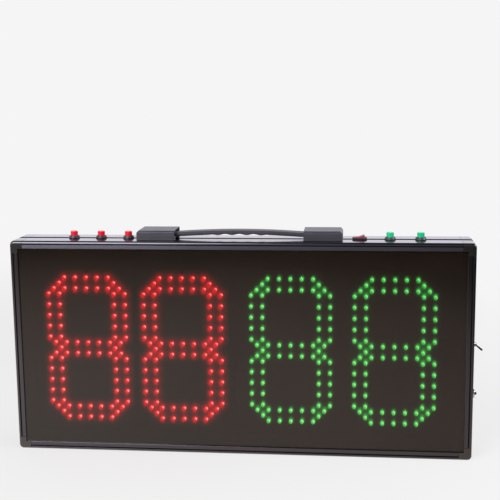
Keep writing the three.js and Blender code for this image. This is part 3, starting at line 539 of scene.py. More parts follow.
def as_array(elements, field):
    """A place of every vertex or face of a mesh, in millimetres."""
    places = np.empty(3 * len(elements), dtype=np.float32)
    elements.foreach_get(field, places)
    return places.reshape(-1, 3).astype(float) / MM


def store(piece, name, values):
    """Keeps one number per vertex, for a material to read."""
    attribute = piece.data.attributes.new(name, "FLOAT", "POINT")
    attribute.data.foreach_set("value", np.asarray(values, dtype=np.float32))


# %% [markdown]
# ## Rails
#
# A rail is an aluminium extrusion, so its whole shape is one outline. Round shoulders
# lead down to a fine groove, and beyond it a lip lies back a little and holds the sheet.
# Inside, four ribs form the two slots for the sheets. The outline is drawn with a radius
# at each corner, since a real extrusion has no knife edges, and those small radii are
# what catches the light.

# %% Rail outline
rail_wall = 2.0
shoulder_radius = 3.5
bezel_width = 11.0
lip_thickness = 2.2
lip_slope = 0.7
groove_inset = 3.9
groove_width = 1.6
groove_depth = 1.2
rib_thickness = 1.5
rib_height = 7.5
lip_round = 0.5
channel_half_width = 5.2
channel_depth = 0.9
fine_round = 0.15
front_slot_end = sheet_high[1] + seat_gap
rear_slot_start = panel_low[1] - seat_gap


def half_rail(slot, rib):
    """Half of a rail's section, from the shoulder inwards, as (across, up, radius)."""
    groove_end = groove_inset + groove_width
    return [
        (half_depth, 0, shoulder_radius),
        (half_depth, -groove_inset, fine_round),
        (half_depth - groove_depth, -groove_inset, fine_round),
        (half_depth - groove_depth, -groove_end, fine_round),
        (half_depth - lip_slope, -groove_end, fine_round),
        (half_depth, -bezel_width, lip_round),
        (half_depth - lip_thickness, -bezel_width, fine_round),
        (half_depth - lip_thickness, -rail_wall, fine_round),
        (slot, -rail_wall, fine_round),
        (slot, -rail_wall - rib_height, fine_round),
        (rib, -rail_wall - rib_height, fine_round),
        (rib, -rail_wall, fine_round),
    ]


def rail_outline():
    """Both halves as one closed outline in (across the rail, up from its outer face)."""
    rear = half_rail(rear_slot_start, rear_slot_start - rib_thickness)
    front = half_rail(-front_slot_end, -front_slot_end - rib_thickness)
    channel = [(-channel_half_width, 0, fine_round), (0, -channel_depth, fine_round),
               (channel_half_width, 0, fine_round)]
    return rounded_rows(rear + [(-a, b, r) for a, b, r in reversed(front)] + channel, 6)


def rail(span):
    """The outline carried along X between two ends, with its outer face at Z = 0."""
    section = rail_outline()
    rings = [np.column_stack([np.full(len(section), x), section]) for x in span]
    return skin(np.stack(rings))


print("rail outline:", len(rail_outline()), "points")

# %% Holes in the rails
cut_past = 1.0
wall_span = (-rail_wall - cut_past, cut_past)
button_hole = 6.5
rivet_hole = 2.7
corner_leg = 17.5
tongue_length = 20.0
tongue_thickness = 7.0
corner_screw_place = corner_leg + tongue_length / 2
corner_screw_inset = rail_wall + seat_gap + tongue_thickness / 2
corner_screw_face = half_depth - lip_slope
screw_head_radius = 2.8
screw_head_depth = 1.4
screw_radius = 1.5
screw_length = 15.0


def screw_room():
    """A countersunk hole along Z, open above the screw's head face at zero."""
    gap = seat_gap
    neck = -screw_head_depth - gap
    return turned([
        (0, -screw_length - gap), (screw_radius + gap, -screw_length + cut_past),
        (screw_radius + gap, neck), (screw_head_radius + gap, -gap / 2),
        (screw_head_radius + gap, cut_past), (0, cut_past)])


def bore(radius, span, origin=(0, 0, 0), axes=UP):
    """A plain round cutter."""
    rod = [(0, span[0]), (radius, span[0]), (radius, span[1]), (0, span[1])]
    return placed(turned(rod), axes, origin)


def middle(node):
    """The middle of a node's box, in millimetres."""
    low, high = box_of(node)
    return (low + high) / 2


def above(node):
    """The point of the top rail's outer face that lies on a node's middle line."""
    return (middle(node)[0], 0, board_height)


button_names = ["red_1", "red_2", "red_3", "green_1", "green_2"]
screw_sides = {"left": corner_screw_place - half_width, "right": half_width - corner_screw_place}
screw_levels = {"bottom": corner_screw_inset, "top": board_height - corner_screw_inset}
rail_screws = [placed(screw_room(), BACK, (x, corner_screw_face, z))
               for x in screw_sides.values() for z in screw_levels.values()]
top_holes = [bore(button_hole, wall_span, above("button_cap_" + name)) for name in button_names]
top_holes += [bore(rivet_hole, wall_span, above("handle_rivet_" + side))
              for side in ("left", "right")]
rocker_size = (17.8, 12.8)
rocker_origin = above("rocker_housing")
rocker_hole = slab(rocker_size[0] + 2 * seat_gap, rocker_size[1] + 2 * seat_gap, 0.5, wall_span)
top_holes.append(placed(rocker_hole, UP, rocker_origin))
toggle_hole = 3.3
socket_hole = 4.5
side_origin = (half_width, 0, middle("toggle_nut")[2])
socket_origin = (half_width, 0, middle("socket_nut")[2])
side_holes = [bore(toggle_hole, wall_span, side_origin, RIGHT),
              bore(socket_hole, wall_span, socket_origin, RIGHT)]

# %% The four rails
long_span = (-rail_end, rail_end)
side_span = side_rail_span - half_height
top_rail = add_piece(
    "rail_top_profile", placed(rail(long_span), UP, (0, 0, board_height)), rail_finish,
    "rail_anodised", replaced=["rail_top"], cuts=top_holes + rail_screws[1::2])
bottom_rail = add_piece(
    "rail_bottom_profile", placed(rail(long_span), DOWN), rail_finish,
    "rail_anodised", replaced=["rail_bottom"], cuts=rail_screws[0::2])
right_rail = add_piece(
    "rail_right_profile", placed(rail(side_span), RIGHT, (half_width, 0, half_height)),
    side_rail_finish, "rail_anodised", replaced=["rail_right"], cuts=side_holes)
left_rail = add_piece(
    "rail_left_profile", placed(rail(side_span), LEFT, (-half_width, 0, half_height)),
    side_rail_finish, "rail_anodised", replaced=["rail_left"])
# The faces inside the grooves and the channel get painted shade: a duller, darker finish.
shade_grooves(top_rail, lambda place: board_height - place[:, 2])
shade_grooves(bottom_rail, lambda place: place[:, 2])
shade_grooves(right_rail, lambda place: half_width - place[:, 0])
shade_grooves(left_rail, lambda place: half_width + place[:, 0])
print("rails: 4, with", len(top_holes + side_holes + rail_screws), "holes")


# %% [markdown]
# ## Corner pieces
#
# The mouldings at the corners carry the rails' outer shape and its channel round the
# corner, but their front is plain, without the groove. A point of the outline that lies d
# inside the outer face follows an L whose corner is an arc of radius R - d, or a sharp
# corner once d is larger than R. Each leg ends in a tongue that slides into the rail
# beside it.

# %% Corner shape
corner_radius = 6.0
arc_steps = 10


def corner_outline():
    """A corner's section as (across, depth inside the outer face). It has the rear panel's slot
    and, in front of it, one hollow behind the front lip, where the sheet and the tongues are."""
    corners = [(half_depth, 0, shoulder_radius), (half_depth, bezel_width, fine_round)]
    for high, low in [(panel_high[1] + seat_gap, rear_slot_start),
                      (-front_slot_end, sheet_low[1] - seat_gap)]:
        corners += [(high, bezel_width, fine_round), (high, rail_wall, fine_round),
                    (low, rail_wall, fine_round), (low, bezel_width, fine_round)]
    corners += [(-half_depth, bezel_width, fine_round), (-half_depth, 0, shoulder_radius)]
    corners += [(-channel_half_width, 0, fine_round), (0, channel_depth, fine_round),
                (channel_half_width, 0, fine_round)]
    return rounded_rows(corners, 5)


def corner_sweep():
    """Rings along the L. A point at depth d has m = max(R, d) and r = max(R - d, 0); round the
    bend it stands at x = -m + r cos t and z = -m + r sin t, with t from 90 degrees to 0."""
    across, depth = corner_outline().T
    reach = np.maximum(corner_radius, depth)[None]
    bend = np.maximum(corner_radius - depth, 0)[None]
    turn = np.linspace(np.pi / 2, 0, arc_steps + 1)[:, None]
    x = -reach + bend * np.cos(turn)
    z = -reach + bend * np.sin(turn)
    x = np.concatenate([np.full((1, len(depth)), -corner_leg), x, -depth[None]])
    z = np.concatenate([-depth[None], z, np.full((1, len(depth)), -corner_leg)])
    return skin(np.stack([x, np.broadcast_to(across, x.shape), z], axis=-1))


def corner_tongues():
    """A flat tongue on each leg, one along X and one along Z."""
    low = -front_slot_end + rib_thickness + seat_gap
    high = rear_slot_start - rib_thickness - seat_gap
    size = (tongue_length + cut_past, high - low)
    depth = -rail_wall - seat_gap
    centre = -corner_leg + cut_past - size[0] / 2
    flat = slab(*size, 0.8, (depth - tongue_thickness, depth), 0.5)
    return [placed(flat, UP, (centre, (low + high) / 2, 0)),
            placed(flat, RIGHT, (0, (low + high) / 2, centre))]


def corner_depth(place):
    """How far each point lies inside the outer face, which is an arc round the corners."""
    beyond = np.abs(place[:, [0, 2]] - [0, half_height]) - [half_width, half_height] + corner_radius
    arc_depth = corner_radius - np.hypot(*np.maximum(beyond, 0).T)
    return np.where(beyond.max(axis=1) > 0, arc_depth, corner_radius)


def turned_about(surface, quarter, origin):
    """Turns a corner by quarter turns clockwise, seen from the front, and puts it in place."""
    return placed(surface, np.linalg.matrix_power(RIGHT, quarter), origin)


screw_ends = [(corner_screw_place, corner_screw_inset), (corner_screw_inset, corner_screw_place)]
corner_cuts = [placed(screw_room(), BACK, (-x, corner_screw_face, -z)) for x, z in screw_ends]
corner_places = {
    "top_right": (0, (half_width, 0, board_height)), "bottom_right": (1, (half_width, 0, 0)),
    "bottom_left": (2, (-half_width, 0, 0)), "top_left": (3, (-half_width, 0, board_height))}

# %% The four corner pieces
for name, (quarter, origin) in corner_places.items():
    corner = add_piece(
        "corner_moulding_" + name, turned_about(corner_sweep(), quarter, origin),
        moulding_finish, "corner_moulding", replaced=["corner_" + name],
        joins=[turned_about(tongue, quarter, origin) for tongue in corner_tongues()],
        cuts=[turned_about(hole, quarter, origin) for hole in corner_cuts])
    # The corner's channel gets painted shade too.
    shade_grooves(corner, corner_depth)
print("corner outline:", len(corner_outline()), "points")


# %% [markdown]
# ## Front sheet and rear panel
#
# The front sheet is smoked acrylic. It is dark because most of the light that enters is
# lost in it, and what shows from outside is mainly the floor mirrored in its polished
# face. A plain alpha gives the loss, the shader's gloss gives the mirror, and a very
# shallow, very wide wave keeps that mirror from being perfect. The rear panel is a coated
# sheet with holes for the posts' snap heads and slots for the battery bracket's tabs.

# %% Sheets
def sheet_finish():
    """Smoked acrylic: dark brown body, most of the light let through lost, polished face."""
    material, tree, shader, place = new_material("smoked acrylic")
    drifting(tree, shader, noise(tree, place, 9.0, 3.0), (24, 17, 13), (30, 22, 17))
    polish = remapped(tree, noise(tree, place, 160.0, 4.0), *noise_span, 0.03, 0.06)
    tree.links.new(polish, shader.inputs["Roughness"])
    bumped(tree, shader, noise(tree, place, 6.0, 1.0), 0.00006)
    constants(shader, Alpha=0.78, IOR=1.49, Specular_IOR_Level=0.75)
    return material


smoked_finish = sheet_finish()
sheet_corner = corner_radius - rail_wall - seat_gap
sheet_width = sheet_high[0] - sheet_low[0]
sheet_height = sheet_high[2] - sheet_low[2]
front_sheet = slab(sheet_width, sheet_height, sheet_corner, (sheet_low[1], sheet_high[1]))
add_piece("front_sheet_polished", placed(front_sheet, LYING, (0, 0, half_height)), smoked_finish,
          "smoked_sheet", replaced=["front_sheet"])
print("front sheet:", round(sheet_width, 1), "x", round(sheet_height, 1))

# %% Rear panel with its holes
post_levels = [middle("board_post_1_" + end)[2] for end in ("bottom", "top")]
digit_places = [middle(f"digit_board_{n}")[0] for n in (1, 2, 3, 4)]
digit_level = middle("digit_board_1")[2]
panel_cut = (panel_low[1] - cut_past, panel_high[1] + cut_past)
stud_hole = 1.9
panel_holes = [bore(stud_hole, panel_cut, (x, 0, z), BACK)
               for x in digit_places for z in post_levels]
bracket_low, bracket_high = box_of("battery_bracket")
bracket_width = bracket_high[0] - bracket_low[0]
tab_thickness = 1.0
tab_places = [bracket_low[2] + tab_thickness / 2, bracket_high[2] - tab_thickness / 2]
tab_slot = slab(bracket_width + 2 * seat_gap, tab_thickness + 2 * seat_gap, 0.3, panel_cut, 0.1)
panel_holes += [placed(tab_slot, LYING, (0, 0, z)) for z in tab_places]
rear_sheet = slab(sheet_width, sheet_height, sheet_corner, (panel_low[1], panel_high[1]), 0.2)
add_piece("rear_panel_coated", placed(rear_sheet, LYING, (0, 0, half_height)), rear_sheet_finish,
          "rear_sheet", replaced=["rear_panel"], cuts=panel_holes + rail_screws)
print("rear panel:", len(panel_holes), "holes")


# %% [markdown]
# ## Digits of light
#
# A figure eight has 84 round LEDs. They stand on a half-pitch lattice, so that the
# strokes meet in the corners, and one quarter of them is listed and mirrored both ways.
# Each LED is eight rings of eight points: small, because it is repeated hundreds of times.
# An attribute named lens_light says how brightly each point of the LED glows, and it holds a
# painted highlight: most on the upper right of its lens, which faces the eye, and least at the
# lower left. The light that would spill on the circuit board is painted too, as an attribute: a
# sum of soft spots, one round each LED, by which the board glows though it is no lamp.

# %% LED lattice
led_pitch = 15.62
half_pitch = led_pitch / 2
digit_columns = 14
digit_rows = 26


def led_places():
    """(across, up) of every LED: a quarter of them on the half-pitch lattice, then mirrored."""
    strokes = [(c, r) for r in (0, 2, 12) for c in (3, 5, 7)]
    strokes += [(c, r) for c in (0, 2) for r in (3, 5, 7, 9, 11)]
    quarter = np.array(strokes + [(2, 1), (1, 2), (1, 12), (2, 13)])
    mirrored = np.concatenate([quarter, [digit_columns, 0] + quarter * [-1, 1]])
    mirrored = np.concatenate([mirrored, [0, digit_rows] + mirrored * [1, -1]])
    lattice = np.unique(mirrored, axis=0)
    return (lattice - [digit_columns / 2, digit_rows / 2]) * [half_pitch, -half_pitch]


led_spots = led_places()
print("LEDs in a digit:", len(led_spots))

# %% LED shape and light
led_height = 8.6
led_radius = 2.5
led_flange = 2.8
led_profile = [(0, 0), (led_flange, 0), (led_flange, 0.9), (led_radius, 1.2), (led_radius, 6.0),
               (2.1, 7.3), (1.2, 8.3), (0, led_height)]
# mean_light and light_swing shape the painted highlight of each lens along its height.
lens_levels = [0.0, 1.2, 4.0, 6.0, 7.3, led_height]
mean_light = [0.3, 0.45, 0.6, 0.6, 0.5, 0.4]
light_swing = [0.15, 0.3, 0.35, 0.4, 0.4, 0.3]
board_low, board_high = box_of("digit_board_1")
board_front = board_low[1] + led_height
board_back = board_high[1]
board_size = (board_high[0] - board_low[0], board_high[2] - board_low[2])


def led_cluster(x):
    """All LEDs of one digit: one turned body, copied to every spot by adding arrays."""
    points, blocks = placed(turned(led_profile, 8), FRONT, (x, board_front, digit_level))
    offset = np.column_stack([led_spots[:, 0], np.zeros(len(led_spots)), led_spots[:, 1]])
    return joined([(points + step, blocks) for step in offset])


def from_leds(points, x):
    """How far each point lies across and above the axis of each LED of the digit at x."""
    return (points[:, None, 0] - x - led_spots[:, 0],
            points[:, None, 2] - digit_level - led_spots[:, 1])


def lens_light(points, x):
    """Painted highlight of the lens. Light = mean + swing * side, both read off by height above the
    board. Side is how far a point lies to the upper right of the nearest LED's axis, as a share of
    the LED's radius; that side faces the eye and is painted brighter."""
    height = board_front - points[:, 1]
    across, up = from_leds(points, x)
    nearest = np.argmin(across ** 2 + up ** 2, axis=1)
    row = np.arange(len(points))
    side = (across[row, nearest] + up[row, nearest]) / (math.sqrt(2) * led_radius)
    swing = np.interp(height, lens_levels, light_swing)
    return np.clip(np.interp(height, lens_levels, mean_light) + side * swing, 0, 1)


def glowing(material, tree, shader, attribute, stops, strength):
    """Lets a finish glow with the colours of stops, read off by an attribute of the piece."""
    light = add_node(tree, "Attribute", attribute_name=attribute).outputs["Fac"]
    colours = ramp(tree, light, [(mark, linear(*colour)) for mark, colour in stops])
    tree.links.new(colours, shader.inputs["Emission Color"])
    constants(shader, Emission_Strength=strength)
    material.cycles.emission_sampling = "NONE"


def led_finish(name, body, stops, strength):
    """Coloured epoxy that glows by its lens_light attribute, with a painted highlight."""
    material, tree, shader, place = new_material(name)
    drifting(tree, shader, noise(tree, place, 260.0, 2.0), body, body)
    glowing(material, tree, shader, "lens_light", stops, strength)
    constants(shader, Roughness=0.12, Coat_Weight=0.3)
    return material


# The palest stops are the painted highlight of the lens.
red_led_finish = led_finish("red LED epoxy", (120, 8, 16), [
    (0.0, (96, 2, 8)), (0.35, (180, 4, 18)), (0.62, (230, 10, 28)),
    (0.78, (244, 44, 54)), (0.94, (255, 172, 166))], 24.0)
green_led_finish = led_finish("green LED epoxy", (16, 92, 30), [
    (0.0, (16, 84, 26)), (0.35, (44, 152, 54)), (0.6, (64, 184, 76)),
    (0.85, (120, 216, 114)), (1.0, (176, 216, 136))], 26.0)


# %% Digit boards with spilled light
def tray(width, height, step, span):
    """A closed plate whose front is a grid of about step: the grid's outermost lines are
    repeated at the back, and one n-gon along them closes it."""
    across = np.linspace(-width / 2, width / 2, round(width / step) + 1)
    up = np.linspace(-height / 2, height / 2, round(height / step) + 1)
    x, z = np.meshgrid(np.pad(across, 1, mode="edge"), np.pad(up, 1, mode="edge"))
    y = np.full(x.shape, span[0])
    y[[0, -1], :] = span[1]
    y[:, [0, -1]] = span[1]
    number = np.arange(x.size).reshape(x.shape)
    rim = np.concatenate([number[0, :-1], number[:-1, -1], number[-1, :0:-1], number[:0:-1, 0]])
    points = np.stack([x, y, z], axis=-1).reshape(-1, 3)
    return points, [grid_faces(*x.shape, False), rim[None]]


def spill(points, x, shift):
    """Painted LED light on the board: over the LEDs, the sum of a strong narrow spot and a faint
    wide one, each exp(-(distance / radius) squared). The narrow one is an upright oval, shifted by
    shift."""
    across, up = from_leds(points, x)
    narrow = np.exp(-((across - shift) / narrow_spill) ** 2 - ((up - shift) / tall_spill) ** 2)
    wide = np.exp(-(across ** 2 + up ** 2) / wide_spill ** 2)
    light = (narrow_share * narrow + (1 - narrow_share) * wide).sum(axis=1)
    return np.clip(light * (points[:, 1] < board_front + spill_depth), 0, 1)


def board_finish(name, stops, strength):
    """Black solder mask with faint traces, and painted LED light that glows by an attribute of the
    board.
    """
    material, tree, shader, place = new_material(name)
    traces = noise(tree, stretched(tree, place, (1.0, 1.0, 0.08)), 420.0, 2.0)
    mask, track = linear(12, 12, 13), linear(26, 27, 28)
    tracks = ramp(tree, traces, [(0.42, mask), (0.5, track), (0.58, mask)])
    tree.links.new(tracks, shader.inputs["Base Color"])
    bumped(tree, shader, traces, 0.00003)
    glowing(material, tree, shader, "painted_glow", stops, strength)
    constants(shader, Roughness=0.38)
    return material


grid_step = 1.6
narrow_spill = 2.8
tall_spill = 4.2
wide_spill = 7.0
narrow_share = 0.75
spill_depth = 0.1
# The boards' glow ramps are painted LED light: black away from the LEDs, red or green near them.
red_board_finish = board_finish("black circuit board under red", [
    (0.0, (0, 0, 0)), (0.14, (74, 10, 12)), (0.3, (126, 4, 10)),
    (0.6, (190, 2, 14)), (1.0, (236, 8, 24))], 17.0)
green_board_finish = board_finish("black circuit board under green", [
    (0.0, (0, 0, 0)), (0.14, (10, 14, 8)), (0.3, (14, 52, 20)),
    (0.6, (34, 136, 52)), (1.0, (60, 188, 84))], 16.0)
red_digit = (red_led_finish, "led_red", red_board_finish, -1.8)
green_digit = (green_led_finish, "led_green", green_board_finish, 0.6)
digit_looks = [red_digit, red_digit, green_digit, green_digit]
board_cut = (board_front - cut_past, board_back + cut_past)
plate = tray(*board_size, grid_step, (board_front, board_back))
for number, (x, look) in enumerate(zip(digit_places, digit_looks), 1):
    led_look, led_slot, board_look, spill_shift = look
    node = f"digit_board_{number}"
    leds = add_piece(f"digit_{number}_leds", led_cluster(x), led_look, led_slot, replaced=[node],
                     crease=50)
    store(leds, "lens_light", lens_light(as_array(leds.data.vertices, "co"), x))
    board = add_piece(
        f"digit_{number}_circuit_board", placed(plate, UP, (x, 0, digit_level)), board_look,
        "circuit_board", replaced=[node],
        cuts=[bore(stud_hole, board_cut, (x, 0, z), BACK) for z in post_levels])
    store(board, "painted_glow", spill(as_array(board.data.vertices, "co"), x, spill_shift))
print("digits: 4, board", np.round(board_size, 1), "mm")


# %% [markdown]
# ## Posts and corner screws
#
# Each digit board hangs on two nylon posts: a hexagonal body with a snap head at either
# end. The heads that stand out behind the rear panel are what a user would see there.
# The corner screws are countersunk, with a cross recess and a plain thread.

# %% Posts
post_radius = 3.5
stud_radius = 1.6
head_radius = 2.5
head_height = 1.4
head_edge = 0.2
head_tip = 1.2
post_flat = post_radius * 0.866
post_rim = post_radius * 0.82
post_edge = 0.4


def snap_head(seat, way):
    """(radius, place) from where the stud meets the head to its tip; way is 1 to the rear."""
    tip = seat + way * head_height
    return [(stud_radius, seat), (head_radius, seat), (head_radius, seat + way * head_edge),
            (stud_radius, tip - way * head_edge), (head_tip, tip), (0, tip)]


def support_post():
    """Turned about its own axis along Y, from the front snap head to the rear one."""
    front, rear = board_back + seat_gap, panel_low[1] - seat_gap
    body = [(post_rim, front), (post_flat, front + post_edge), (post_flat, rear - post_edge),
            (post_rim, rear)]
    front_end = snap_head(board_front - seat_gap, -1)[::-1] + [(stud_radius, front)]
    rear_end = [(stud_radius, rear)] + snap_head(panel_high[1] + seat_gap, 1)
    is_hexagon = [0] * len(front_end) + [1] * len(body) + [0] * len(rear_end)
    return turned(front_end + body + rear_end, 24, is_hexagon)


for number, x in enumerate(digit_places, 1):
    for end, z in zip(("bottom", "top"), post_levels):
        add_piece(f"post_{number}_{end}_nylon", placed(support_post(), BACK, (x, 0, z)),
                  nylon_finish, "nylon", replaced=[f"board_post_{number}_{end}"])


# %% Corner screws
recess_depth = 1.1
recess_reach = 1.5
recess_width = 0.55
recess_floor_share = 0.45
screw_point = 0.5
screw_pitch = 0.6
thread_depth = 0.25


def corner_screw():
    """Point, threaded shank, countersunk head and a slightly domed face at zero."""
    shank = thread(screw_radius, (-screw_length + 1.5, -screw_head_depth - 1), screw_pitch,
                   thread_depth)
    return turned([
        (0, -screw_length), (screw_point, -screw_length + screw_point), *shank,
        (screw_radius, -screw_head_depth), (screw_head_radius - 0.05, -0.12),
        (screw_head_radius, -0.06), (screw_head_radius - 0.15, 0), (0, 0)], 32)


def cross_recess():
    """Two crossing wedges, narrower at the bottom, as one star-shaped stack of rings."""
    wide, narrow = recess_reach, recess_width / 2
    arm = np.array([(wide, -narrow), (wide, narrow), (narrow, narrow)])
    star = np.concatenate([arm @ np.linalg.matrix_power([[0, 1], [-1, 0]], n) for n in range(4)])
    levels = [(recess_floor_share, -recess_depth), (1, 0), (1, cut_past)]
    return skin(np.stack([np.column_stack([star * share, np.full(len(star), z)])
                          for share, z in levels]))


for side, x in screw_sides.items():
    for end, z in screw_levels.items():
        spot = (x, corner_screw_face, z)
        add_piece(f"screw_{end}_{side}_countersunk", placed(corner_screw(), BACK, spot),
                  black_steel_finish, "black_steel", replaced=[f"corner_screw_{end}_{side}"],
                  cuts=[placed(cross_recess(), BACK, spot)])
print("posts: 8, corner screws: 4")


# %% [markdown]
# ## Push buttons
#
# A button's collar is a low cone on the rail, and its cap is a plain rod with a rounded
# rim. Both are turned bodies, so each is one list of radius and height. The collar has a
# barrel with a thread below the rail, where the hexagonal nut holds it.

# %% Push buttons
cap_radius = 5.0
cap_round = 0.9
collar_radius = 8.0
collar_top_radius = 6.7
collar_height = 3.3
collar_edge = 0.8
barrel_wall = 0.9
barrel_length = 17.0
button_bore = cap_radius + seat_gap
barrel_radius = button_bore + barrel_wall
collar_top = seat_gap + collar_height
terminal_size = (2.4, 0.6)
terminal_length = 4.0
terminal_spacing = 5.0


def terminals(size, span, places, axes, origin):
    """Flat tabs below a switch, at places along its own X axis."""
    tab = slab(*size, 0.1, span, 0.05)
    return [placed(placed(tab, UP, (x, 0, 0)), axes, origin) for x in places]


def button_collar(floor):
    """Barrel, cone and bore, from the underside up and back down into the bore."""
    shank = thread(barrel_radius, (-barrel_length + 1, -0.5), 1.0, 0.25)
    rim = 0.35
    return turned([
        (0, -barrel_length), (barrel_radius - 0.4, -barrel_length), *shank,
        (barrel_radius, seat_gap),
        (collar_radius - 0.1, seat_gap), (collar_radius, seat_gap + 0.1),
        *arc((collar_radius - rim, seat_gap + collar_edge - rim / 2), rim, 0, 60, 3),
        *arc((collar_top_radius - rim, collar_top - rim), rim, 20, 90, 4),
        (button_bore + 0.25, collar_top), (button_bore, collar_top - 0.25),
        (button_bore, floor), (0, floor)], 48)


def button_cap(bottom, top):
    """A rod with a rounded rim and a very slightly hollow face."""
    rim = arc((cap_radius - cap_round, top - cap_round), cap_round, 0, 90, 6)
    return turned([(0, bottom), (cap_radius - 0.3, bottom), (cap_radius, bottom + 0.3), *rim,
                   (cap_radius * 0.5, top - 0.12), (0, top - 0.15)], 48)


travel_room = 3.5
terminal_span = (-barrel_length - terminal_length, -barrel_length + 1)
terminal_places = (-terminal_spacing / 2, terminal_spacing / 2)
cap_looks = {"red": (red_button_finish, "button_red"),
             "green": (green_button_finish, "button_green")}
for name in button_names:
    low, high = box_of("button_cap_" + name)
    place = above("button_cap_" + name)
    bottom, top = low[2] - board_height, high[2] - board_height
    add_piece(f"button_{name}_collar", placed(button_collar(bottom - travel_room), UP, place),
              collar_finish, "nylon", replaced=["button_body_" + name],
              joins=terminals(terminal_size, terminal_span, terminal_places, UP, place))
    add_piece(f"button_{name}_cap", placed(button_cap(bottom, top), UP, place),
              *cap_looks[name.split("_")[0]], body="button_" + name,
              replaced=["button_cap_" + name])
print("buttons:", len(button_names))


# %% [markdown]
# ## Rocker switch
#
# The housing is a frame with a deep well. The paddle lies in it on two small pins, and
# its top is a shallow V: two planes that meet over the pivot, so that one end always
# stands up. Its outline is drawn with round corners and carried across the switch.

# %% Rocker
bezel_size = (20.0, 15.0)
bezel_height = 2.0
housing_depth = 15.0
paddle_size = (14.6, 9.4)
paddle_gap = (0.7, 0.5)
paddle_rim = 0.7
pivot_height = 1.4
well_depth = 9.0
rocker_tilt = math.radians(13)
pin_radius = 1.1
pin_reach = 0.9
end_height = 3.7
middle_height = 2.7
skirt_depth = 2.0
keel_depth = 5.0
pivot = (rocker_origin[0], 0, board_height + pivot_height)


def rocker_paddle():
    """The V outline carried across in rings: the outer ones are drawn in, so the rim is round."""
    half = paddle_size[0] / 2
    corners = [(-half, end_height, 0.9), (-half, -skirt_depth, 0.6), (0, -keel_depth, 1.0),
               (half, -skirt_depth, 0.6), (half, end_height, 0.9), (0, middle_height, 6.0)]
    outline = rounded_rows(corners, 8)
    inset, across = round_rims(paddle_rim, (-paddle_size[1] / 2, paddle_size[1] / 2), 4)
    rings = [np.column_stack([outline[:, 0] * s, np.full(len(outline), y), outline[:, 1] * s])
             for s, y in zip(1 - inset / half, across)]
    return skin(np.stack(rings))


def tilted(surface, angle, origin):
    """Turned about the Y axis, with the right end up for a positive angle."""
    sine, cosine = math.sin(angle), math.cos(angle)
    return placed(surface, np.array([[cosine, 0, sine], [0, 1, 0], [-sine, 0, cosine]]), origin)


pin_span = paddle_size[1] / 2 + paddle_gap[1] + pin_reach
well = slab(paddle_size[0] + 2 * paddle_gap[0], paddle_size[1] + 2 * paddle_gap[1], 0.8,
            (pivot_height - well_depth, bezel_height + cut_past), 0.1)
pin_room = bore(pin_radius + seat_gap, (-pin_span - seat_gap, pin_span + seat_gap), pivot, BACK)
shell = slab(*rocker_size, 0.5, (-housing_depth, bezel_height / 2 + seat_gap), 0.2)
tabs = terminals((0.8, 4.0), (-housing_depth - 6, -housing_depth + 2), (-5, 0, 5), UP,
                 rocker_origin)
bezel = slab(*bezel_size, 1.6, (seat_gap, seat_gap + bezel_height), 0.7, 6)
add_piece("rocker_switch_housing", placed(bezel, UP, rocker_origin), nylon_finish, "nylon",
          replaced=["rocker_housing"], joins=[placed(shell, UP, rocker_origin), *tabs],
          cuts=[placed(well, UP, rocker_origin), pin_room])
pins = bore(pin_radius, (-pin_span, pin_span), pivot, BACK)
add_piece("rocker_paddle", tilted(rocker_paddle(), rocker_tilt, pivot), rocker_finish, "rocker_red",
          body="rocker", replaced=["rocker"], joins=[pins])
print("rocker tilt:", round(math.degrees(rocker_tilt)), "degrees")


# %% [markdown]
# ## Side controls
#
# A small toggle switch and a charging socket stand out of the right rail. Their bushing,
# nut, barrel, plug and lever are all turned about an axis that points to the right, and
# the lever is turned once more, down to its resting angle.

# %% Toggle switch
seat = -rail_wall - seat_gap
bushing_radius = 3.0
bushing_length = 5.5
bushing_bore = 2.4
toggle_pivot = 4.5
toggle_floor = toggle_pivot - 4.0
lever_length = 12.95
lever_root = 1.0
lever_tip = 1.4
ball_radius = 1.9
lever_angle = math.radians(40)
toggle_body_size = (12.7, 8.0)
toggle_body_depth = 9.5
toggle_end = seat - toggle_body_depth
bushing = turned([
    (0, seat - toggle_body_depth / 2), (bushing_radius, seat - toggle_body_depth / 2),
    *thread(bushing_radius, (seat, bushing_length - 0.5), 0.7, 0.18),
    (bushing_radius - 0.35, bushing_length), (bushing_bore, bushing_length),
    (bushing_bore, toggle_floor), (0, toggle_floor)], 40)
toggle_case = placed(slab(*toggle_body_size, 0.6, (toggle_end, seat), 0.3), RIGHT, side_origin)
toggle_tabs = terminals((0.8, 2.0), (toggle_end - 4, seat - toggle_body_depth / 2),
                        (-4.7, 0, 4.7), RIGHT, side_origin)
add_piece("toggle_switch_body", placed(bushing, RIGHT, side_origin), chrome_finish,
          "chrome_switch", replaced=["toggle_body"], joins=[toggle_case, *toggle_tabs])
nut_reach = 4.0
nut_bore = bushing_radius + seat_gap
nut_span = (seat_gap, seat_gap + 2.0)
hex_nut = ring([
    (nut_bore, nut_span[0]), (nut_reach, nut_span[0]), (nut_reach, nut_span[1] - 0.3),
    (nut_reach - 0.35, nut_span[1]), (nut_bore, nut_span[1])], 48, [0, 1, 1, 0.4, 0])
add_piece("toggle_hexagon_nut", placed(hex_nut, RIGHT, side_origin), chrome_finish,
          "chrome_switch", replaced=["toggle_nut"])
lever = turned([
    (0, -ball_radius), *arc((0, 0), ball_radius, -75, 50, 8), (lever_root, ball_radius + 0.2),
    (lever_tip, lever_length - lever_tip),
    *arc((0, lever_length - lever_tip), lever_tip, 15, 75, 5), (0, lever_length)], 32)
lever_place = (half_width + toggle_pivot, 0, side_origin[2])
add_piece("toggle_lever_turned", tilted(placed(lever, RIGHT), -lever_angle, lever_place),
          black_steel_finish, "black_steel", body="toggle", replaced=["toggle_lever"])

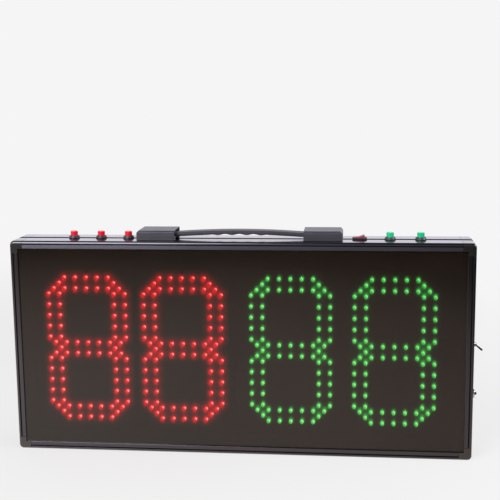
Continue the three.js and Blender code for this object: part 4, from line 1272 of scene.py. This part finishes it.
# %% Charging socket and dust plug
socket_radius = 4.2
socket_length = 3.2
socket_bore = 2.9
socket_depth = 12.0
socket_pin = 1.0
pin_inset = 2.5
socket_nut_radius = 6.5
socket_nut_height = 4.6
plug_height = 8.0
floor_level = socket_length - socket_depth
shell_radius = 6.5
shell_end = seat - 12
pin_end = socket_length - pin_inset
socket = turned([
    (0, shell_end), (shell_radius, shell_end), (shell_radius, seat), (socket_radius, seat),
    *thread(socket_radius, (seat + 0.3, socket_length - 0.4), 0.8, 0.2),
    (socket_radius - 0.3, socket_length), (socket_bore, socket_length),
    (socket_bore, floor_level), (socket_pin, floor_level), (socket_pin, pin_end - 0.4),
    (socket_pin - 0.4, pin_end), (0, pin_end)], 40)
socket_tabs = terminals((0.8, 3.0), (shell_end - 5, shell_end + 0.3), (-2.5, 2.5), RIGHT,
                        socket_origin)
add_piece("socket_barrel", placed(socket, RIGHT, socket_origin), chrome_finish, "chrome_switch",
          replaced=["socket_body"], joins=socket_tabs)
nut_top = seat_gap + socket_nut_height
socket_ring = ring([
    (socket_radius + seat_gap, seat_gap), (socket_nut_radius - 0.3, seat_gap),
    (socket_nut_radius, seat_gap + 0.3), *arc((socket_nut_radius - 1, nut_top - 1), 1.0, 0, 90, 5),
    (socket_radius + seat_gap, nut_top)])
add_piece("socket_round_nut", placed(socket_ring, RIGHT, socket_origin), chrome_finish,
          "chrome_switch", replaced=["socket_nut"])
under = socket_length + seat_gap
stem_end = socket_length - 7.0
pin_room_radius = socket_pin + seat_gap
pin_top = pin_end + seat_gap
stem_radius = socket_bore - seat_gap
nub_radius = 1.9
nub_round = 1.0
plug = turned([
    (0, pin_top), (pin_room_radius, pin_top), (pin_room_radius, stem_end),
    (stem_radius, stem_end), (stem_radius, under), (3.7, under), (3.9, under + 0.2),
    (3.9, under + 0.7), (3.6, under + 1.0), (2.2, under + 1.0), (nub_radius, under + 1.4),
    (nub_radius, plug_height - nub_round),
    *arc((nub_radius - nub_round, plug_height - nub_round), nub_round, 15, 90, 5),
    (0, plug_height)], 40)
add_piece("dust_plug_rubber", placed(plug, RIGHT, socket_origin), plug_finish, "plug_rubber",
          body="dust_plug", replaced=["dust_plug"])
print("side controls: toggle at", side_origin[2], "socket at", socket_origin[2])


# %% [markdown]
# ## Handle
#
# The strap is a squared oval carried along a low arch; its underside carries waves for the
# fingers, which fade out towards the end caps. Each end cap is a box with chamfered sides
# and a chamfered outer end. Its top follows the lower of the flat roof and the end's slope,
# and the outline of every ring along it is drawn with round corners.

# %% End caps
cap_length = 53.0
cap_height = 13.6
cap_depth = 46.0
side_chamfer = 1.8
end_chamfer = 3.0
cap_wall = 2.5
roof = 1.7
cap_rim = 1.1
inner_rim = 0.5
strap_width = 24.0


def end_cap():
    """Rings along X from the inner end to the outer. The top is the lower of the flat roof and
    the end chamfer; near the outer end each ring is also drawn in, as a rounded edge."""
    inner, outer = -cap_length / 2, cap_length / 2
    turn = np.linspace(0, np.pi / 2, 6)
    slope = outer - end_chamfer
    x = np.concatenate([
        inner + inner_rim * (1 - np.cos(turn)), np.linspace(inner + 1, slope, 6),
        np.linspace(slope + 0.3, outer - cap_rim, 5), outer - cap_rim + cap_rim * np.sin(turn[1:])])
    inset = np.concatenate([
        inner_rim * (1 - np.sin(turn)), np.zeros(11), cap_rim * (1 - np.cos(turn[1:]))])
    top = cap_height - np.maximum(0, x - slope)
    rings = [cap_ring(height - shrink, cap_depth / 2 - shrink, distance)
             for distance, shrink, height in zip(x, inset, top)]
    return skin(np.stack(rings))


def cap_ring(top, half, x):
    """Foot, upright side with three fine grooves, sloping chamfer and flat roof."""
    chamfer = max(side_chamfer - (cap_height - top), 0.4)
    side = [(half, seat_gap, 0.3)]
    for level in (2.6, 5.0, 7.4):
        side += [(half, level, 0.1), (half - 0.4, level + 0.1, 0.1), (half - 0.4, level + 0.5, 0.1),
                 (half, level + 0.6, 0.1)]
    side += [(half, top - chamfer, 0.8 * chamfer), (half - chamfer, top, 0.5 * chamfer)]
    outline = rounded_rows(side + [(-y, z, r) for y, z, r in reversed(side)], 4)
    return np.column_stack([np.full(len(outline), x), outline])


cavity = slab(cap_length - cap_wall + cut_past, strap_width + 2 * cap_wall, 1.0,
              (-cut_past, cap_height - roof), 0.4)
cavity = placed(cavity, UP, (-(cap_wall + cut_past) / 2, 0, 0))
for side, axes in (("left", ABOUT), ("right", UP)):
    place = above("handle_cap_" + side)
    add_piece(f"handle_{side}_end_cap", placed(end_cap(), axes, place), cap_finish, "handle_rubber",
              replaced=["handle_cap_" + side], cuts=[placed(cavity, axes, place)])

# %% Strap
strap_low, strap_high = box_of("handle_strap")
strap_half = 98.0
strap_thickness = 6.0
strap_arch = 4.0
strap_power = 0.45
grip_pitch = 20.0
grip_depth = 0.8
grip_reach = 42.0
tongue_size = (18.0, 3.0)
tongue_reach = strap_high[0]
slot_length = 16.0
rivet_shoulder = 3.2
strap_bottom = strap_low[2] - board_height


def strap_skin(steps=196, sides=48):
    """Rings along X. Their middle rises by arch (1 - (x/half)^2), and a ring is the squared oval
    (cos t, sin t) with each part raised to the power 0.45; its lower half waves with the grip."""
    x = np.linspace(-strap_half, strap_half, steps + 1)[:, None]
    angle = (np.arange(sides) + 0.5)[None] * 2 * np.pi / sides
    rise = strap_arch * (1 - (x / strap_half) ** 2)
    fade = np.maximum(0, 1 - (x / grip_reach) ** 6)
    ridge = grip_depth * fade * np.cos(2 * np.pi * (x / grip_pitch - 0.5))
    across = strap_width / 2 * np.sign(np.cos(angle)) * np.abs(np.cos(angle)) ** strap_power
    up = strap_thickness / 2 * np.sign(np.sin(angle)) * np.abs(np.sin(angle)) ** strap_power
    z = strap_bottom + strap_thickness / 2 + rise + up - np.where(up < 0, ridge, 0)
    return skin(np.stack(np.broadcast_arrays(x, across, z), axis=-1))


def strap_tongues():
    """A flat tongue at each end, with a slot round the rivet."""
    length = tongue_reach - strap_half + 4.0
    flat = slab(length, tongue_size[0], 2.0, (strap_bottom, strap_bottom + tongue_size[1]), 0.4)
    return [placed(flat, UP, (side * (tongue_reach - length / 2), 0, 0)) for side in (-1, 1)]


def strap_slots():
    """Long round-ended cutters through the tongues."""
    width = 2 * rivet_shoulder + 2 * seat_gap
    gap = slab(slot_length, width, width / 2 - 0.01, (strap_bottom - 1, strap_bottom + 4), 0.1)
    return [placed(gap, UP, (side * middle("handle_rivet_right")[0], 0, 0)) for side in (-1, 1)]


lift = (0, 0, board_height)
add_piece("handle_strap_moulded", placed(strap_skin(), UP, lift), strap_finish, "handle_rubber",
          body="strap", replaced=["handle_strap"],
          joins=[placed(tongue, UP, lift) for tongue in strap_tongues()],
          cuts=[placed(gap, UP, lift) for gap in strap_slots()], crease=45)
print("strap:", 2 * strap_half, "mm between its shoulders")


# %% [markdown]
# ## Pieces inside
#
# The control board, the battery with its bracket, the nuts below the rail, and the
# handle's plates and rivets keep the shape that they were packed with. They only get
# their finish, because they show when the object is taken apart and not before.

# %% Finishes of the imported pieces
inner_finishes = {
    "control_board": inner_board_finish, "battery_pack": wrap_finish,
    "battery_bracket": steel_finish, "button_nut_": steel_finish,
    "handle_plate_": black_steel_finish, "handle_rivet_": steel_finish}
for node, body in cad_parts.items():
    for start, finish in inner_finishes.items():
        if node.startswith(start):
            body.data.materials.clear()
            body.data.materials.append(finish)
print("shown packed nodes:", [n for n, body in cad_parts.items() if not body.hide_render])


# %% [markdown]
# ## Floor, background and light
#
# Black gloss shows what stands round it more than its own colour, so the surroundings are
# part of the finish. One large soft lamp stands at the front left and one small one at the
# right. The world is pale to the camera and near the horizon, and dark overhead. The floor
# is plain and pale and keeps the shadow; in reflections it shows a painted reflection
# instead, which turns darker away from the board.

# %% World
world = bpy.data.worlds.new("studio")
scene.world = world
world.use_nodes = True
sky = world.node_tree
sky.nodes.clear()
fill_level = 0.5
backdrop_level = 0.913
path = add_node(sky, "LightPath").outputs
direction = add_node(sky, "TexCoord").outputs["Generated"]
sides = add_node(sky, "SeparateXYZ", {"Vector": direction}).outputs
horizon = (1.12, 1.08, 1.2, 1)
ceiling = ramp(sky, sides["Z"], [
    (0.0, horizon), (0.36, horizon), (0.5, (0.16, 0.16, 0.17, 1)), (1.0, (0.12, 0.12, 0.13, 1))])
to_front = remapped(sky, sides["Y"], 0.05, -0.3)
to_right = remapped(sky, sides["X"], -0.45, 0.25)
dimming = remapped(sky, multiplied(sky, to_front, to_right), 0.0, 1.0, 1.0, 0.12)
fill = add_node(sky, "Background", {"Color": (1, 1, 1, 1), "Strength": fill_level})
mirror = add_node(sky, "Background", {"Color": ceiling, "Strength": dimming})
plain = add_node(sky, "Background", {"Color": (1, 1, 1, 1), "Strength": backdrop_level})
lit = mixed(sky, path["Is Glossy Ray"], fill, mirror)
seen = mixed(sky, path["Is Camera Ray"], lit, plain)
sky.links.new(seen.outputs[0], add_node(sky, "OutputWorld").inputs["Surface"])


# %% Lamps
def add_lamp(name, place, aim, size, power):
    """A soft rectangular lamp at place that faces aim."""
    data = bpy.data.lights.new(name, "AREA")
    data.shape = "RECTANGLE"
    data.size, data.size_y = size
    data.energy = power
    lamp = bpy.data.objects.new(name, data)
    turn = (Vector(aim) - Vector(place)).to_track_quat("-Z", "Y")
    lamp.matrix_world = Matrix.Translation(place) @ turn.to_matrix().to_4x4()
    scene.collection.objects.link(lamp)
    return lamp


add_lamp("front_left_softbox", (-0.95, -1.85, 1.45), (0.0, 0.0, 0.2), (1.3, 1.9), 47.0)
add_lamp("right_softbox", (1.4, -0.2, 1.0), (0.2, 0.0, 0.25), (0.5, 0.5), 8.0)

# %% Floor
floor_reach = 8.0
floor_mesh = bpy.data.meshes.new("floor")
floor_corners = np.array([[-1, -1, 0], [1, -1, 0], [1, 1, 0], [-1, 1, 0]]) * floor_reach
floor_mesh.from_pydata(floor_corners.tolist(), [], [[0, 1, 2, 3]])
floor = bpy.data.objects.new("floor", floor_mesh)
scene.collection.objects.link(floor)


def floor_finish():
    """Pale paper. In reflections it shows a painted reflection instead: it glows by distance from
    the board's front left, pale near it and dark far away.
    """
    material, tree, shader, place = new_material("pale paper")
    paper = [(0.3, (0.80, 0.80, 0.80, 1)), (0.7, (0.83, 0.83, 0.83, 1))]
    cloud = noise(tree, place, 3.0, 3.0)
    tree.links.new(ramp(tree, cloud, paper), shader.inputs["Base Color"])
    constants(shader, Roughness=1.0, Specular_IOR_Level=0.0)
    path = add_node(tree, "LightPath").outputs
    shift = add_node(tree, "Mapping", {"Vector": place, "Location": (0.6, 0.05, 0.0)})
    length = add_node(tree, "VectorMath", {0: shift.outputs["Vector"]}, operation="LENGTH")
    away = length.outputs["Value"]
    # shades is the painted reflection: warm and pale near the board, dark far away.
    shades = ramp(tree, remapped(tree, away, 0.0, 2.0), [
        (0.0, (1.0, 0.92, 0.88, 1)), (0.2, (0.9, 0.78, 0.72, 1)), (0.45, (0.64, 0.53, 0.47, 1)),
        (0.65, (0.38, 0.32, 0.28, 1)), (0.8, (0.15, 0.13, 0.11, 1)), (1.0, (0.01, 0.01, 0.008, 1))])
    painted_glow = add_node(tree, "Emission", {"Color": shades, "Strength": 1.0})
    lit = mixed(tree, path["Is Glossy Ray"], shader, painted_glow)
    plain = add_node(tree, "Emission", {"Color": (backdrop_level,) * 3 + (1,), "Strength": 1.0})
    bare = multiplied(tree, remapped(tree, away, 0.5, 1.6, 0.65), path["Is Camera Ray"])
    seen = mixed(tree, bare, lit, plain)
    tree.links.new(seen.outputs[0], tree.nodes["Material Output"].inputs["Surface"])
    return material


floor_mesh.materials.append(floor_finish())
